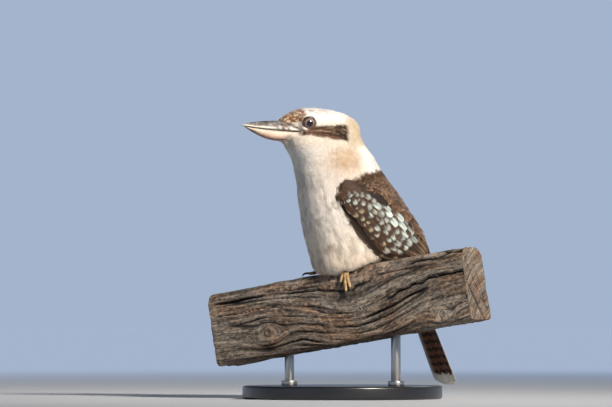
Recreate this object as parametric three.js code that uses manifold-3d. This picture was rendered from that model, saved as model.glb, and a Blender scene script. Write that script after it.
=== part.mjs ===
// A laughing kookaburra at life size, perched on a short length of weathered timber beam that a plain
// display stand holds up. Millimetres, with +Z up. The bird faces -Y and +X is its left side. The origin
// is the centre of the stand base's underside.
//
// Everything is built round the feet: f is forward, l is to the bird's left and z is up from the top of
// the beam midway between the feet. The finished group is then lifted so that the base stands on Z = 0.

import * as THREE from 'three';
import { mergeVertices } from 'three/addons/utils/BufferGeometryUtils.js';
import Module from 'manifold-3d';

const wasm = await Module();
wasm.setup();

// ---------------------------------------------------------------- driving dimensions

const GAP = 0.3;
const FEET_HEIGHT = 135;
const CENTRE_BACK = 8;

const BEAM = {
  length: 300, height: 78, depth: 52, corner: 15, underCorner: 5, front: 18, crossing: 54, slope: 9.5,
};
const BASE = { radius: 105, thickness: 14, bevel: 2 };
const ROD = { radius: 5, spread: 62, socket: 8 };

// Sections of neck and trunk from the throat down to the root of the tail. Each one joins a point on the
// front to a point on the back, both as [forward, up], and has a half width.
const BODY = [
  { front: [58, 139], back: [-10, 158], half: 20 },
  { front: [59.5, 129], back: [-23, 146], half: 27.5 },
  { front: [53, 113], back: [-31, 129], half: 31 },
  { front: [48.5, 95], back: [-43, 112], half: 36 },
  { front: [45, 75], back: [-56, 95], half: 40 },
  { front: [40.5, 52], back: [-70, 77], half: 43 },
  { front: [35, 30], back: [-83, 58], half: 44.5 },
  { front: [29.5, 12], back: [-90, 42], half: 44 },
  { front: [23, -4], back: [-93, 30], half: 41 },
  { front: [2, -6], back: [-94, 20], half: 36 },
  { front: [-22, -4], back: [-94, 12], half: 30 },
  { front: [-46, -2], back: [-95, 4], half: 24 },
  { front: [-64, -12], back: [-98, -8], half: 18 },
  { front: [-82, -34], back: [-103, -30], half: 13 },
];

// The head turns about a vertical line through the neck. Sections across it run from the nape to the
// forehead, at a distance ahead of that line.
const HEAD = { pivot: 4.8, turn: 11 };
const SKULL = [
  { ahead: -27, top: 150, bottom: 142, half: 5 },
  { ahead: -24, top: 155.5, bottom: 130, half: 14 },
  { ahead: -18, top: 160.5, bottom: 122, half: 21 },
  { ahead: -8, top: 165.3, bottom: 118, half: 27 },
  { ahead: 6, top: 168.8, bottom: 120, half: 29.5 },
  { ahead: 20, top: 170.9, bottom: 124, half: 28 },
  { ahead: 34, top: 170.6, bottom: 128, half: 23.6 },
  { ahead: 46, top: 168.2, bottom: 131, half: 17.6 },
  { ahead: 56, top: 163, bottom: 134, half: 13.8 },
  { ahead: 62, top: 158.5, bottom: 137, half: 11 },
];
const EYE = { radius: 7.2, ahead: 34.4, side: 18.2, height: 153.8 };

// Bill sections: the edge where the two mandibles meet, the outer edge above or below it, and the half
// width along the meeting edge.
const UPPER_BILL = [
  { ahead: 42, edge: 143.8, outer: 154.5, half: 15 },
  { ahead: 52, edge: 146, outer: 156.3, half: 13.6 },
  { ahead: 61, edge: 147.7, outer: 156.8, half: 12.2 },
  { ahead: 73, edge: 148.4, outer: 156.7, half: 9.9 },
  { ahead: 85, edge: 149.1, outer: 156.2, half: 7.3 },
  { ahead: 94, edge: 149.8, outer: 154.8, half: 4.7 },
  { ahead: 99.5, edge: 150.4, outer: 153, half: 2.5 },
  { ahead: 102.4, edge: 150.7, outer: 151.4, half: 0.7 },
];
const LOWER_BILL = [
  { ahead: 42, edge: 143.8, outer: 134, half: 14.4 },
  { ahead: 52, edge: 146, outer: 134, half: 13 },
  { ahead: 61, edge: 147.7, outer: 134.8, half: 11.6 },
  { ahead: 73, edge: 148.4, outer: 136.8, half: 9.4 },
  { ahead: 84, edge: 149, outer: 141.1, half: 6.8 },
  { ahead: 92, edge: 149.6, outer: 145.4, half: 4.2 },
  { ahead: 96.5, edge: 150.1, outer: 148.1, half: 2.2 },
  { ahead: 98.8, edge: 150.3, outer: 149.7, half: 0.6 },
];

// The folded wing is a shell round the flank and back. Each section, from the wrist to the tips of the
// longest feathers, lies on an oval like those of the body, from one angle to another, counted from the
// front point round the side to the back point, and stands out from it by its thickness.
const WING = [
  { front: [47, 86], back: [-49, 104], half: 38, from: 65, to: 82, thick: 2 },
  { front: [45, 75], back: [-56, 95], half: 40, from: 57, to: 112, thick: 4.5 },
  { front: [43, 63.5], back: [-63, 86], half: 41.7, from: 57, to: 128, thick: 5.5 },
  { front: [40.5, 52], back: [-70, 77], half: 43, from: 60, to: 139, thick: 5.5 },
  { front: [35, 30], back: [-83, 58], half: 44.5, from: 67, to: 153, thick: 5.5 },
  { front: [29.5, 12], back: [-90, 42], half: 44, from: 73, to: 163, thick: 5.5 },
  { front: [8, -2], back: [-97, 27], half: 41, from: 73, to: 168, thick: 5 },
  { front: [-15, -15], back: [-102, 8], half: 35, from: 72, to: 168, thick: 4.5 },
  { front: [-40, -31], back: [-107, -13], half: 28, from: 73, to: 165, thick: 4 },
  { front: [-72, -45], back: [-112, -34], half: 21, from: 76, to: 155, thick: 3 },
  { front: [-100, -58], back: [-118, -53], half: 13, from: 85, to: 140, thick: 2 },
];
const WING_EDGE = 1.2;
const WING_STANDOFF = GAP + 0.4;

// The tail hangs behind the beam.
const TAIL = {
  root: [-80, 10], tip: [-134, -122], halfRoot: 16, halfTip: 24, thickRoot: 9, thickTip: 3, round: 9,
};

// Each foot: where it stands along and across the beam, and the way its toes point, as an angle from
// the beam's run. A toe has its own angle from there, its length and the radius of its base.
const TOES = [
  { name: 'inner', angle: 19, length: 17, radius: 2.3 },
  { name: 'middle', angle: 0, length: 25, radius: 2.5 },
  { name: 'outer', angle: -13, length: 22, radius: 2.3 },
  { name: 'hind', angle: 172, length: 12, radius: 2.3 },
];
const FEET = [
  { side: 'left', along: 16.2, across: 10, points: 95, mirror: 1 },
  { side: 'right', along: -16.2, across: -14, points: 130, mirror: -1 },
];
const TOE_TIP = 1.7;
const TOE_LIFT = GAP + 0.25;
const CLAW = { length: 8, base: 1.35, tip: 0.4, arch: 1.6, start: 0.6, rise: 0.4, drop: 1.1 };
const LEG = { radius: 2.6, ankle: [-13, 20, 23], sole: 3.4, kneeForward: 0.6 };

// Feathers stand a little further off the toes than one solid stands off another.
const TOE_ROOM = 1.2;

// The flesh is one body, cut across below the chin and again above the shoulders. Each cut leans forward.
const HEAD_CUT = { at: [20, 128], up: [0.28, 0.96] };
const NECK_CUT = { at: [0, 101], up: [0.2, 0.98] };

// How full the rounded sections are: below 1 is nearer to a box than an oval.
const FULLNESS = { body: 0.9, jowl: 0.65, bill: 1.15, wing: 0.6, tail: 0.6 };
const ROUND = 24;

// ---------------------------------------------------------------- frames

const radians = THREE.MathUtils.degToRad;
const bird = (f, l, z) => new THREE.Vector3(l, -f, z);

// The beam's own frame: run is along it and uphill, front is the way its front face looks.
const crossing = radians(BEAM.crossing);
const slope = radians(BEAM.slope);
const levelRun = bird(-Math.cos(crossing), Math.sin(crossing), 0);
const front = bird(Math.sin(crossing), Math.cos(crossing), 0);
const run = levelRun.clone().multiplyScalar(Math.cos(slope)).setZ(Math.sin(slope));
const above = new THREE.Vector3().crossVectors(front, run).normalize();
if (above.z < 0) above.negate();
const beamPoint = (along, across, up) => new THREE.Vector3()
  .addScaledVector(run, along)
  .addScaledVector(front, across)
  .addScaledVector(above, up);

const headTurn = new THREE.Matrix4()
  .makeTranslation(0, -HEAD.pivot, 0)
  .multiply(new THREE.Matrix4().makeRotationZ(-radians(HEAD.turn)));

// ---------------------------------------------------------------- shapes and joins

const curveThrough = (points) => new THREE.CatmullRomCurve3(points, false, 'catmullrom', 0.5);

// A closed surface through equal rings of points, with a flat fan over each end.
function loft(rings) {
  const count = rings[0].length;
  const points = rings.flat();
  const faces = [];
  const middle = (ring) => ring.reduce((sum, p) => sum.add(p), new THREE.Vector3()).divideScalar(count);
  const first = points.push(middle(rings[0])) - 1;
  const last = points.push(middle(rings[rings.length - 1])) - 1;
  for (let i = 0; i < count; i++) {
    const j = (i + 1) % count;
    faces.push(first, j, i);
    const end = (rings.length - 1) * count;
    faces.push(last, end + i, end + j);
    for (let r = 0; r < rings.length - 1; r++) {
      const a = r * count;
      const b = a + count;
      faces.push(a + i, a + j, b + j, a + i, b + j, b + i);
    }
  }
  return outward(points, faces);
}

// A geometry whose faces point out, whichever way its rings ran.
function outward(points, faces) {
  let volume = 0;
  for (let i = 0; i < faces.length; i += 3) {
    const [a, b, c] = [points[faces[i]], points[faces[i + 1]], points[faces[i + 2]]];
    volume += a.dot(new THREE.Vector3().crossVectors(b, c));
  }
  if (volume < 0) faces.reverse();
  const geometry = new THREE.BufferGeometry().setFromPoints(points);
  geometry.setIndex(faces);
  return geometry;
}

function solidOf(geometry) {
  const plain = geometry.clone();
  plain.deleteAttribute('normal');
  plain.deleteAttribute('uv');
  const merged = mergeVertices(plain, 1e-4);
  return new wasm.Manifold(new wasm.Mesh({
    numProp: 3,
    vertProperties: new Float32Array(merged.attributes.position.array),
    triVerts: new Uint32Array(merged.index.array),
  }));
}

function geometryOf(solid) {
  const mesh = solid.getMesh();
  const geometry = new THREE.BufferGeometry();
  geometry.setAttribute('position', new THREE.BufferAttribute(mesh.vertProperties, 3));
  geometry.setIndex(new THREE.BufferAttribute(mesh.triVerts, 1));
  geometry.computeVertexNormals();
  return geometry;
}

// A block that fills the side of a plane that its normal points to.
const FAR = 500;
function halfSpace(point, normal) {
  const block = new THREE.BoxGeometry(FAR, FAR, FAR).translate(0, 0, FAR / 2);
  const turn = new THREE.Quaternion().setFromUnitVectors(new THREE.Vector3(0, 0, 1), normal);
  return solidOf(block.applyQuaternion(turn).translate(point.x, point.y, point.z));
}

// A tube with round ends along a path, its radius changing evenly from first to last.
function tube(path, first, last, steps, sides, grow = 0) {
  const curve = curveThrough(path);
  const frames = curve.computeFrenetFrames(steps, false);
  const rings = [];
  const ring = (t, radius, shift) => {
    const at = Math.round(t * steps);
    const centre = curve.getPointAt(t).addScaledVector(frames.tangents[at], shift);
    return Array.from({ length: sides }, (_, i) => {
      const angle = 2 * Math.PI * i / sides;
      return centre.clone()
        .addScaledVector(frames.normals[at], radius * Math.cos(angle))
        .addScaledVector(frames.binormals[at], radius * Math.sin(angle));
    });
  };
  const dome = (t, radius, way) => ring(t, radius * 0.6, way * radius * 0.65);
  rings.push(dome(0, first + grow, -1));
  for (let i = 0; i <= steps; i++) {
    const t = i / steps;
    rings.push(ring(t, THREE.MathUtils.lerp(first, last, t) + grow, 0));
  }
  rings.push(dome(1, last + grow, 1));
  return loft(rings);
}

// ---------------------------------------------------------------- beam and stand

// The beam's section, rounded more at the top than below, run out straight between two sawn ends.
function beamGeometry(grow = 0) {
  const { depth, height, corner, underCorner: under, front: ahead, length } = BEAM;
  const [right, left] = [ahead + grow, ahead - depth - grow];
  const [top, bottom] = [grow, -height - grow];
  const section = new THREE.Shape();
  section.moveTo(left, bottom + under);
  section.lineTo(left, top - corner);
  section.absarc(left + corner, top - corner, corner, Math.PI, Math.PI / 2, true);
  section.lineTo(right - corner, top);
  section.absarc(right - corner, top - corner, corner, Math.PI / 2, 0, true);
  section.lineTo(right, bottom + under);
  section.absarc(right - under, bottom + under, under, 0, -Math.PI / 2, true);
  section.lineTo(left + under, bottom);
  section.absarc(left + under, bottom + under, under, -Math.PI / 2, -Math.PI, true);
  const options = { depth: length, bevelEnabled: false, curveSegments: 6 };
  const lengthwise = new THREE.Vector3().crossVectors(front, above);
  return new THREE.ExtrudeGeometry(section, options)
    .translate(0, 0, -length / 2)
    .applyMatrix4(new THREE.Matrix4().makeBasis(front, above, lengthwise));
}

const basePoint = bird(-CENTRE_BACK * Math.sin(crossing), -CENTRE_BACK * Math.cos(crossing), -FEET_HEIGHT);

function baseGeometry() {
  const { radius, thickness, bevel } = BASE;
  const profile = [
    [0, 0], [radius - 1, 0], [radius, 1], [radius, thickness - bevel],
    [radius - bevel, thickness], [0, thickness],
  ].map(([r, z]) => new THREE.Vector2(r, z));
  return new THREE.LatheGeometry(profile, 40).rotateX(Math.PI / 2)
    .translate(basePoint.x, basePoint.y, basePoint.z);
}

function rodGeometry(way, grow = 0) {
  const foot = basePoint.clone().addScaledVector(levelRun, way * ROD.spread);
  const bottom = -FEET_HEIGHT + BASE.thickness - ROD.socket - grow;
  const underside = way * ROD.spread * Math.tan(slope) - BEAM.height / Math.cos(slope);
  const top = underside + ROD.socket + grow;
  return new THREE.CylinderGeometry(ROD.radius + grow, ROD.radius + grow, top - bottom, 16)
    .rotateX(Math.PI / 2)
    .translate(foot.x, foot.y, (top + bottom) / 2);
}

// ---------------------------------------------------------------- body and head

// A point on ovals that run from front to back through stations, at a part of the way through them, at
// an angle from the front point round the left side, and moved outward by grow.
function ovalsThrough(stations) {
  const fronts = curveThrough(stations.map(({ front: [f, z] }) => bird(f, 0, z)));
  const backs = curveThrough(stations.map(({ back: [f, z] }) => bird(f, 0, z)));
  const halves = curveThrough(stations.map(({ half }) => new THREE.Vector3(half, 0, 0)));
  return (part, angle, grow = 0) => {
    const [a, b] = [fronts.getPoint(part), backs.getPoint(part)];
    const reach = a.clone().sub(b).multiplyScalar(0.5);
    const wide = Math.sign(Math.sin(angle)) * Math.abs(Math.sin(angle)) ** FULLNESS.body;
    return a.add(b).multiplyScalar(0.5)
      .addScaledVector(reach, Math.cos(angle) * (1 + grow / reach.length()))
      .setX((halves.getPoint(part).x + grow) * wide);
  };
}

function bodyGeometry(grow = 0) {
  const shape = ovalsThrough(BODY);
  const total = 2 * (BODY.length - 1);
  const rings = Array.from({ length: total + 1 }, (_, i) => Array.from({ length: ROUND }, (_, k) => (
    shape(i / total, 2 * Math.PI * k / ROUND, grow)
  )));
  return loft(rings);
}

function skullGeometry() {
  const curve = curveThrough(SKULL.map(({ ahead, top, bottom }) => new THREE.Vector3(ahead, top, bottom)));
  const halves = curveThrough(SKULL.map(({ half }) => new THREE.Vector3(half, 0, 0)));
  const steps = 2 * (SKULL.length - 1);
  const rings = [];
  for (let i = 0; i <= steps; i++) {
    const { x: ahead, y: top, z: bottom } = curve.getPoint(i / steps);
    const half = halves.getPoint(i / steps).x;
    const [middle, tall] = [(top + bottom) / 2, (top - bottom) / 2];
    rings.push(Array.from({ length: ROUND }, (_, k) => {
      const angle = 2 * Math.PI * k / ROUND;
      const jowl = Math.sin(angle) < 0 ? FULLNESS.jowl : 1;
      const side = Math.sign(Math.cos(angle)) * Math.abs(Math.cos(angle)) ** jowl;
      return new THREE.Vector3(half * side, -ahead, middle + tall * Math.sin(angle));
    }));
  }
  return loft(rings).applyMatrix4(headTurn);
}

// One mandible: its section is a half oval on the meeting edge, fuller near the base than at the tip.
function mandibleGeometry(stations, way, grow = 0) {
  const curve = curveThrough(stations.map(({ ahead, edge, outer }) => new THREE.Vector3(ahead, edge, outer)));
  const halves = curveThrough(stations.map(({ half }) => new THREE.Vector3(half, 0, 0)));
  const steps = 2 * (stations.length - 1);
  const arc = 8;
  const rings = [];
  for (let i = 0; i <= steps; i++) {
    const { x: ahead, y: edge, z: outer } = curve.getPoint(i / steps);
    const half = halves.getPoint(i / steps).x + grow;
    const start = edge + way * (GAP / 2 - grow);
    const tall = Math.abs(outer - start) + grow;
    const end = i === 0 ? -grow : 0;
    rings.push(Array.from({ length: arc + 1 }, (_, k) => {
      const angle = Math.PI * k / arc;
      const rise = way * tall * Math.sin(angle) ** FULLNESS.bill;
      return new THREE.Vector3(half * Math.cos(angle), -(ahead + end), start + rise);
    }));
  }
  return loft(rings).applyMatrix4(headTurn);
}

function eyeGeometry(way, grow = 0) {
  return new THREE.SphereGeometry(EYE.radius + grow, 12, 9)
    .rotateX(Math.PI / 2)
    .rotateY(Math.PI / 2)
    .translate(way * EYE.side, -EYE.ahead, EYE.height)
    .applyMatrix4(headTurn);
}

// ---------------------------------------------------------------- wings and tail

function wingGeometry(way) {
  const shape = ovalsThrough(WING);
  const spans = curveThrough(WING.map(({ from, to, thick }) => new THREE.Vector3(from, to, thick)));
  const steps = 2 * (WING.length - 1);
  const across = 6;
  const rings = [];
  for (let i = 0; i <= steps; i++) {
    const { x: from, y: to, z: thick } = spans.getPoint(i / steps);
    const outer = [];
    const inner = [];
    for (let k = 0; k <= across; k++) {
      const angle = radians(THREE.MathUtils.lerp(from, to, k / across));
      const swell = WING_EDGE + (thick - WING_EDGE) * Math.sin(Math.PI * k / across) ** FULLNESS.wing;
      outer.push(shape(i / steps, angle, WING_STANDOFF + swell));
      inner.unshift(shape(i / steps, angle, WING_STANDOFF));
    }
    rings.push([...outer, ...inner]);
  }
  const geometry = loft(rings);
  if (way > 0) return geometry;
  const mirrored = geometry.scale(-1, 1, 1);
  mirrored.setIndex(Array.from(mirrored.index.array).reverse());
  return mirrored;
}

// The closed tail, a flat wedge whose end is gently rounded.
function tailGeometry(grow = 0) {
  const root = bird(TAIL.root[0], 0, TAIL.root[1]);
  const tip = bird(TAIL.tip[0], 0, TAIL.tip[1]);
  const along = tip.clone().sub(root);
  const length = along.length() + grow;
  along.normalize();
  const face = new THREE.Vector3().crossVectors(new THREE.Vector3(1, 0, 0), along).normalize();
  const steps = 8;
  const sides = 16;
  const rings = [];
  for (let i = 0; i <= steps; i++) {
    const t = i / steps;
    const half = THREE.MathUtils.lerp(TAIL.halfRoot, TAIL.halfTip, t) + grow;
    const thick = THREE.MathUtils.lerp(TAIL.thickRoot, TAIL.thickTip, t) / 2 + grow;
    rings.push(Array.from({ length: sides }, (_, k) => {
      const angle = 2 * Math.PI * k / sides;
      const side = Math.sign(Math.cos(angle)) * Math.abs(Math.cos(angle)) ** FULLNESS.tail;
      const pull = TAIL.round * t ** 4 * side * side;
      return root.clone()
        .addScaledVector(along, t * length - pull)
        .addScaledVector(face, thick * Math.sin(angle))
        .setX(half * side);
    }));
  }
  return loft(rings);
}

// ---------------------------------------------------------------- legs and feet

// A point a height above the beam's surface. Across runs on over the rounded front edge and down.
function onBeam(along, across, height) {
  const start = BEAM.front - BEAM.corner;
  const bend = BEAM.corner * Math.PI / 2;
  if (across <= start) return beamPoint(along, across, height);
  const angle = Math.min((across - start) / BEAM.corner, Math.PI / 2);
  const reach = BEAM.corner + height;
  const down = Math.max(across - start - bend, 0);
  const [ahead, up] = [start + reach * Math.sin(angle), reach * Math.cos(angle) - BEAM.corner - down];
  return beamPoint(along, ahead, up);
}

function toePath(foot, toe, from, to, rise) {
  const heading = radians(foot.points + foot.mirror * toe.angle);
  const points = 5;
  return Array.from({ length: points }, (_, i) => {
    const t = i / (points - 1);
    const s = THREE.MathUtils.lerp(from, to, t);
    const along = foot.along + s * Math.cos(heading);
    const across = foot.across + s * Math.sin(heading);
    return onBeam(along, across, rise(t));
  });
}

function toeGeometry(foot, toe, grow = 0, sides = 6) {
  const rise = (t) => THREE.MathUtils.lerp(toe.radius, TOE_TIP, t) + TOE_LIFT;
  return tube(toePath(foot, toe, 0, toe.length, rise), toe.radius, TOE_TIP, 4, sides, grow);
}

function clawGeometry(foot, toe, grow = 0, sides = 5) {
  const base = TOE_TIP + TOE_LIFT + CLAW.rise;
  const rise = (t) => base + CLAW.arch * Math.sin(0.8 * Math.PI * t) - CLAW.drop * t;
  const from = toe.length + CLAW.start;
  const path = toePath(foot, toe, from, from + CLAW.length, rise);
  return tube(path, CLAW.base, CLAW.tip, 3, sides, grow);
}

function legGeometry(foot, grow = 0) {
  const [f, l, z] = LEG.ankle;
  const ankle = bird(f, foot.mirror * l, z);
  const sole = onBeam(foot.along, foot.across, LEG.sole);
  const knee = ankle.clone().lerp(sole, 0.5).add(bird(LEG.kneeForward, 0, 0));
  return tube([ankle, knee, sole], LEG.radius, LEG.radius, 2, 7, grow);
}

// ---------------------------------------------------------------- joins and cuts

const join = (geometries) => geometries.map(solidOf).reduce((sum, solid) => sum.add(solid));
const cut = (solid, geometries) => geometries.reduce((rest, g) => rest.subtract(solidOf(g)), solid);

const footSolid = (foot, grow = 0) => join(TOES.map((toe) => toeGeometry(foot, toe, grow)));

const flesh = cut(join([bodyGeometry(), skullGeometry()]), [
  mandibleGeometry(UPPER_BILL, 1, GAP),
  mandibleGeometry(LOWER_BILL, -1, GAP),
  eyeGeometry(1, GAP),
  eyeGeometry(-1, GAP),
  beamGeometry(GAP),
  tailGeometry(GAP),
  ...FEET.flatMap((foot) => [
    legGeometry(foot, GAP),
    ...TOES.map((toe) => toeGeometry(foot, toe, TOE_ROOM, 4)),
    ...TOES.map((toe) => clawGeometry(foot, toe, TOE_ROOM, 4)),
  ]),
]);

const sideOfCut = ({ at: [f, z], up: [forward, upward] }, way) => {
  const normal = bird(forward, 0, upward).normalize().multiplyScalar(way);
  return halfSpace(bird(f, 0, z).addScaledVector(normal, GAP / 2), normal);
};
const aboveCut = (cutPlane) => sideOfCut(cutPlane, 1);
const belowCut = (cutPlane) => sideOfCut(cutPlane, -1);
const whole = (solid) => solid.decompose().sort((a, b) => b.volume() - a.volume())[0];
const head = whole(flesh.intersect(aboveCut(HEAD_CUT)));
const neck = whole(flesh.intersect(belowCut(HEAD_CUT)).intersect(aboveCut(NECK_CUT)));
const trunk = whole(flesh.intersect(belowCut(NECK_CUT)));

const clearOfBody = (geometry) => (
  whole(cut(solidOf(geometry), [bodyGeometry(GAP), beamGeometry(GAP), tailGeometry(GAP)]))
);

const rodHoles = [rodGeometry(-1, GAP), rodGeometry(1, GAP)];

// ---------------------------------------------------------------- materials and scene graph

const finish = (color, roughness) => new THREE.MeshStandardMaterial({ color, roughness, metalness: 0 });
const model = new THREE.Group();

function add(name, shape, material) {
  const geometry = shape instanceof THREE.BufferGeometry ? shape : geometryOf(shape);
  const mesh = new THREE.Mesh(geometry, material);
  mesh.name = name;
  model.add(mesh);
}

add('head', head, finish('#e6dccb', 0.9));
add('neck', neck, finish('#e9dfd0', 0.9));
add('trunk', trunk, finish('#d8cfc2', 0.9));
add('bill_upper', mandibleGeometry(UPPER_BILL, 1), finish('#4a4744', 0.5));
add('bill_lower', mandibleGeometry(LOWER_BILL, -1), finish('#c79c86', 0.5));
add('tail', tailGeometry(), finish('#8a5334', 0.85));

for (const [side, way] of [['left', 1], ['right', -1]]) {
  add(`eye_${side}`, eyeGeometry(way), finish('#2a1d17', 0.1));
  add(`wing_${side}`, clearOfBody(wingGeometry(way)), finish('#4d3a30', 0.85));
}

for (const foot of FEET) {
  const toes = footSolid(foot);
  add(`foot_${foot.side}`, toes, finish('#c2a06a', 0.6));
  add(`leg_${foot.side}`, solidOf(legGeometry(foot)).subtract(footSolid(foot, GAP)), finish('#a98a5c', 0.6));
  for (const toe of TOES) {
    const claw = solidOf(clawGeometry(foot, toe)).subtract(footSolid(foot, GAP));
    add(`claw_${foot.side}_${toe.name}`, whole(claw), finish('#2d2825', 0.4));
  }
}

add('perch', cut(solidOf(beamGeometry()), rodHoles), finish('#6f6152', 0.95));
add('stand_base', cut(solidOf(baseGeometry()), rodHoles), finish('#2e2c2b', 0.5));
add('stand_rod_left', rodGeometry(1), finish('#8b8d90', 0.35));
add('stand_rod_right', rodGeometry(-1), finish('#8b8d90', 0.35));

model.position.copy(basePoint).negate();

export default model;
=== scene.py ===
import math
from contextlib import contextmanager
from itertools import product

import bmesh
import bpy
import numpy as np
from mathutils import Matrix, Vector
from mathutils.bvhtree import BVHTree
from mathutils.kdtree import KDTree


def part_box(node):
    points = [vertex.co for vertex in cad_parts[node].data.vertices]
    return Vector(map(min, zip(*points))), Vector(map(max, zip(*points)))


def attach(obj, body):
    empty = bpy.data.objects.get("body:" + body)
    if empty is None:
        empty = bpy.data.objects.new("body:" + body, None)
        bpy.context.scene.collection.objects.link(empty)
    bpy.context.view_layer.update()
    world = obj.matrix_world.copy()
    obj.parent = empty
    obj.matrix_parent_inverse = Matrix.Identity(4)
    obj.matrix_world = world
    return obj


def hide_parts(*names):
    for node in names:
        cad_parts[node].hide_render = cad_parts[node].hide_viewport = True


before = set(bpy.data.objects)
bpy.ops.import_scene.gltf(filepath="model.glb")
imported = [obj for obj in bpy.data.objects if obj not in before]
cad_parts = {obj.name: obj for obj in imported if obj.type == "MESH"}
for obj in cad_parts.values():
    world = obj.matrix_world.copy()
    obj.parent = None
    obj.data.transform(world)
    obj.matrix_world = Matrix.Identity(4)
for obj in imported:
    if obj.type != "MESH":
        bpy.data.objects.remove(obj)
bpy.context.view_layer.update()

# ---------------------------------------------------------------- stand base
# A disc of MDF turned on a lathe, with a rounded rim and one shallow groove round its top, under
# sprayed satin black lacquer.

MM = 0.001
BASE_SIDES = 144
BASE_ROUND = 2.5 * MM
GROOVE_INSET = 11 * MM
GROOVE_WIDTH = 1.8 * MM
GROOVE_DEPTH = 0.9 * MM
FACES_UP = 0.99
SMOOTH_BELOW = math.radians(35)


def linear(code):
    """The linear colour of an sRGB hex code."""
    parts = [int(code[i:i + 2], 16) / 255 for i in (1, 3, 5)]
    return [c / 12.92 if c <= 0.04045 else ((c + 0.055) / 1.055) ** 2.4 for c in parts] + [1.0]


def give(material, node, sockets):
    """Gives a node's sockets values, colours as hex codes, or the outputs of other nodes."""
    for name, value in sockets.items():
        if isinstance(value, bpy.types.NodeSocket):
            material.node_tree.links.new(value, node.inputs[name])
        else:
            node.inputs[name].default_value = linear(value) if isinstance(value, str) else value


def add(material, kind, sockets=None, output=0, stops=(), **settings):
    """Adds a shader node with its settings and links, and returns one of its outputs. Stops are the
    places and hex codes along a colour ramp."""
    made = material.node_tree.nodes.new("ShaderNode" + kind)
    for name, value in settings.items():
        setattr(made, name, value)
    for _ in stops[2:]:
        made.color_ramp.elements.new(0.5)
    for i, (at, code) in enumerate(stops):
        made.color_ramp.elements[i].position = at
        made.color_ramp.elements[i].color = linear(code)
    give(material, made, sockets or {})
    return made.outputs[output]


def feed(material, **sockets):
    """Gives the sockets of a material's own shader values or outputs."""
    shader = material.node_tree.nodes["Principled BSDF"]
    give(material, shader, {name.replace("_", " "): value for name, value in sockets.items()})


def finish(name, **sockets):
    """A new material, with plain values on its shader's sockets."""
    material = bpy.data.materials.new(name)
    material.use_nodes = True
    feed(material, **sockets)
    return material


@contextmanager
def edit_mode():
    """Edit mode on the active piece, with all of its mesh selected."""
    bpy.ops.object.mode_set(mode="EDIT")
    bpy.ops.mesh.select_all(action="SELECT")
    yield
    bpy.ops.object.mode_set(mode="OBJECT")


def shape_with(piece, kind, **settings):
    """Adds a modifier with its settings and applies it."""
    bpy.context.view_layer.objects.active = piece
    modifier = piece.modifiers.new(kind.lower(), kind)
    for name, value in settings.items():
        setattr(modifier, name, value)
    bpy.ops.object.modifier_apply(modifier=modifier.name)


def turned(sides, radius, height, middle, bevel, segments):
    """A round piece as it comes off a lathe, with its sharp edges rounded."""
    bpy.ops.object.select_all(action="DESELECT")
    bpy.ops.mesh.primitive_cylinder_add(vertices=sides, radius=radius, depth=height, location=middle)
    bpy.ops.object.transform_apply()
    piece = bpy.context.active_object
    shape_with(piece, "BEVEL", width=bevel, segments=segments, limit_method="ANGLE")
    return piece


def pick_faces(piece, test):
    """In edit mode, leaves only the faces selected that pass a test of their centre and normal."""
    bpy.ops.mesh.select_all(action="DESELECT")
    cage = bmesh.from_edit_mesh(piece.data)
    for face in cage.faces:
        face.select_set(test(face.calc_center_median(), face.normal))
    bmesh.update_edit_mesh(piece.data)


def settle(piece, name, material, slot, *nodes):
    """Names a finished piece, gives it its material, and lets it ride and stand for its CAD nodes."""
    piece.name = name
    piece.data.name = name
    piece.data.materials.clear()
    piece.data.materials.append(material)
    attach(piece, "root")
    if nodes:
        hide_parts(*nodes)


low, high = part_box("stand_base")
base_top = high.z
base_radius = (high.x - low.x) / 2
middle = (low + high) / 2
base = turned(BASE_SIDES, base_radius, high.z - low.z, middle, BASE_ROUND, 5)
groove_outside = base_radius - BASE_ROUND - GROOVE_INSET
with edit_mode():
    pick_faces(base, lambda centre, normal: normal.z > FACES_UP)
    bpy.ops.mesh.inset(thickness=GROOVE_INSET)
    bpy.ops.mesh.inset(thickness=GROOVE_WIDTH)
    pick_faces(base, lambda centre, normal: (
        normal.z > FACES_UP
        and 0 < groove_outside - (centre - middle).to_2d().length < GROOVE_WIDTH))
    bpy.ops.mesh.extrude_region_move(TRANSFORM_OT_translate={"value": (0, 0, -GROOVE_DEPTH)})
bpy.ops.object.shade_smooth_by_angle(angle=SMOOTH_BELOW)

# Sprayed satin lacquer on MDF: a soft, even gloss with the faint orange peel of the spray gun.
lacquer = finish("satin_black_lacquer", Base_Color="#17171a", Roughness=0.34, IOR=1.5,
                 Coat_Weight=0.25, Coat_Roughness=0.2)
place = add(lacquer, "TexCoord", output="Object")
peel = add(lacquer, "TexNoise", {"Vector": place, "Scale": 420.0, "Detail": 2.0})
feed(lacquer, Normal=add(lacquer, "Bump", {"Height": peel, "Strength": 0.05, "Distance": 0.2 * MM}))
settle(base, "display_base", lacquer, "stand_disc", "stand_base")

# ---------------------------------------------------------------- stand rods
# Two straight stainless steel rods, brushed along their length. Each is pushed into a hole in the base
# through a turned collar, and into a blind hole under the beam.

ROD_SIDES = 48
ROD_BEVEL = 0.4 * MM
COLLAR_WALL = 3.5 * MM
COLLAR_HEIGHT = 5 * MM
COLLAR_BEVEL = 0.8 * MM

# Brushed stainless steel: a warm grey metal whose fine scratches run up the rod.
steel = finish("brushed_stainless_steel", Base_Color="#b9b7b2", Metallic=1.0)
place = add(steel, "TexCoord", output="Object")
stretch = add(steel, "Mapping", {"Vector": place, "Scale": (2600, 2600, 60)})
scratches = add(steel, "TexNoise", {"Vector": stretch, "Scale": 1.0, "Detail": 3.0})
feed(steel, Roughness=add(steel, "MapRange", {"Value": scratches, "To Min": 0.24, "To Max": 0.42}))

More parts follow.
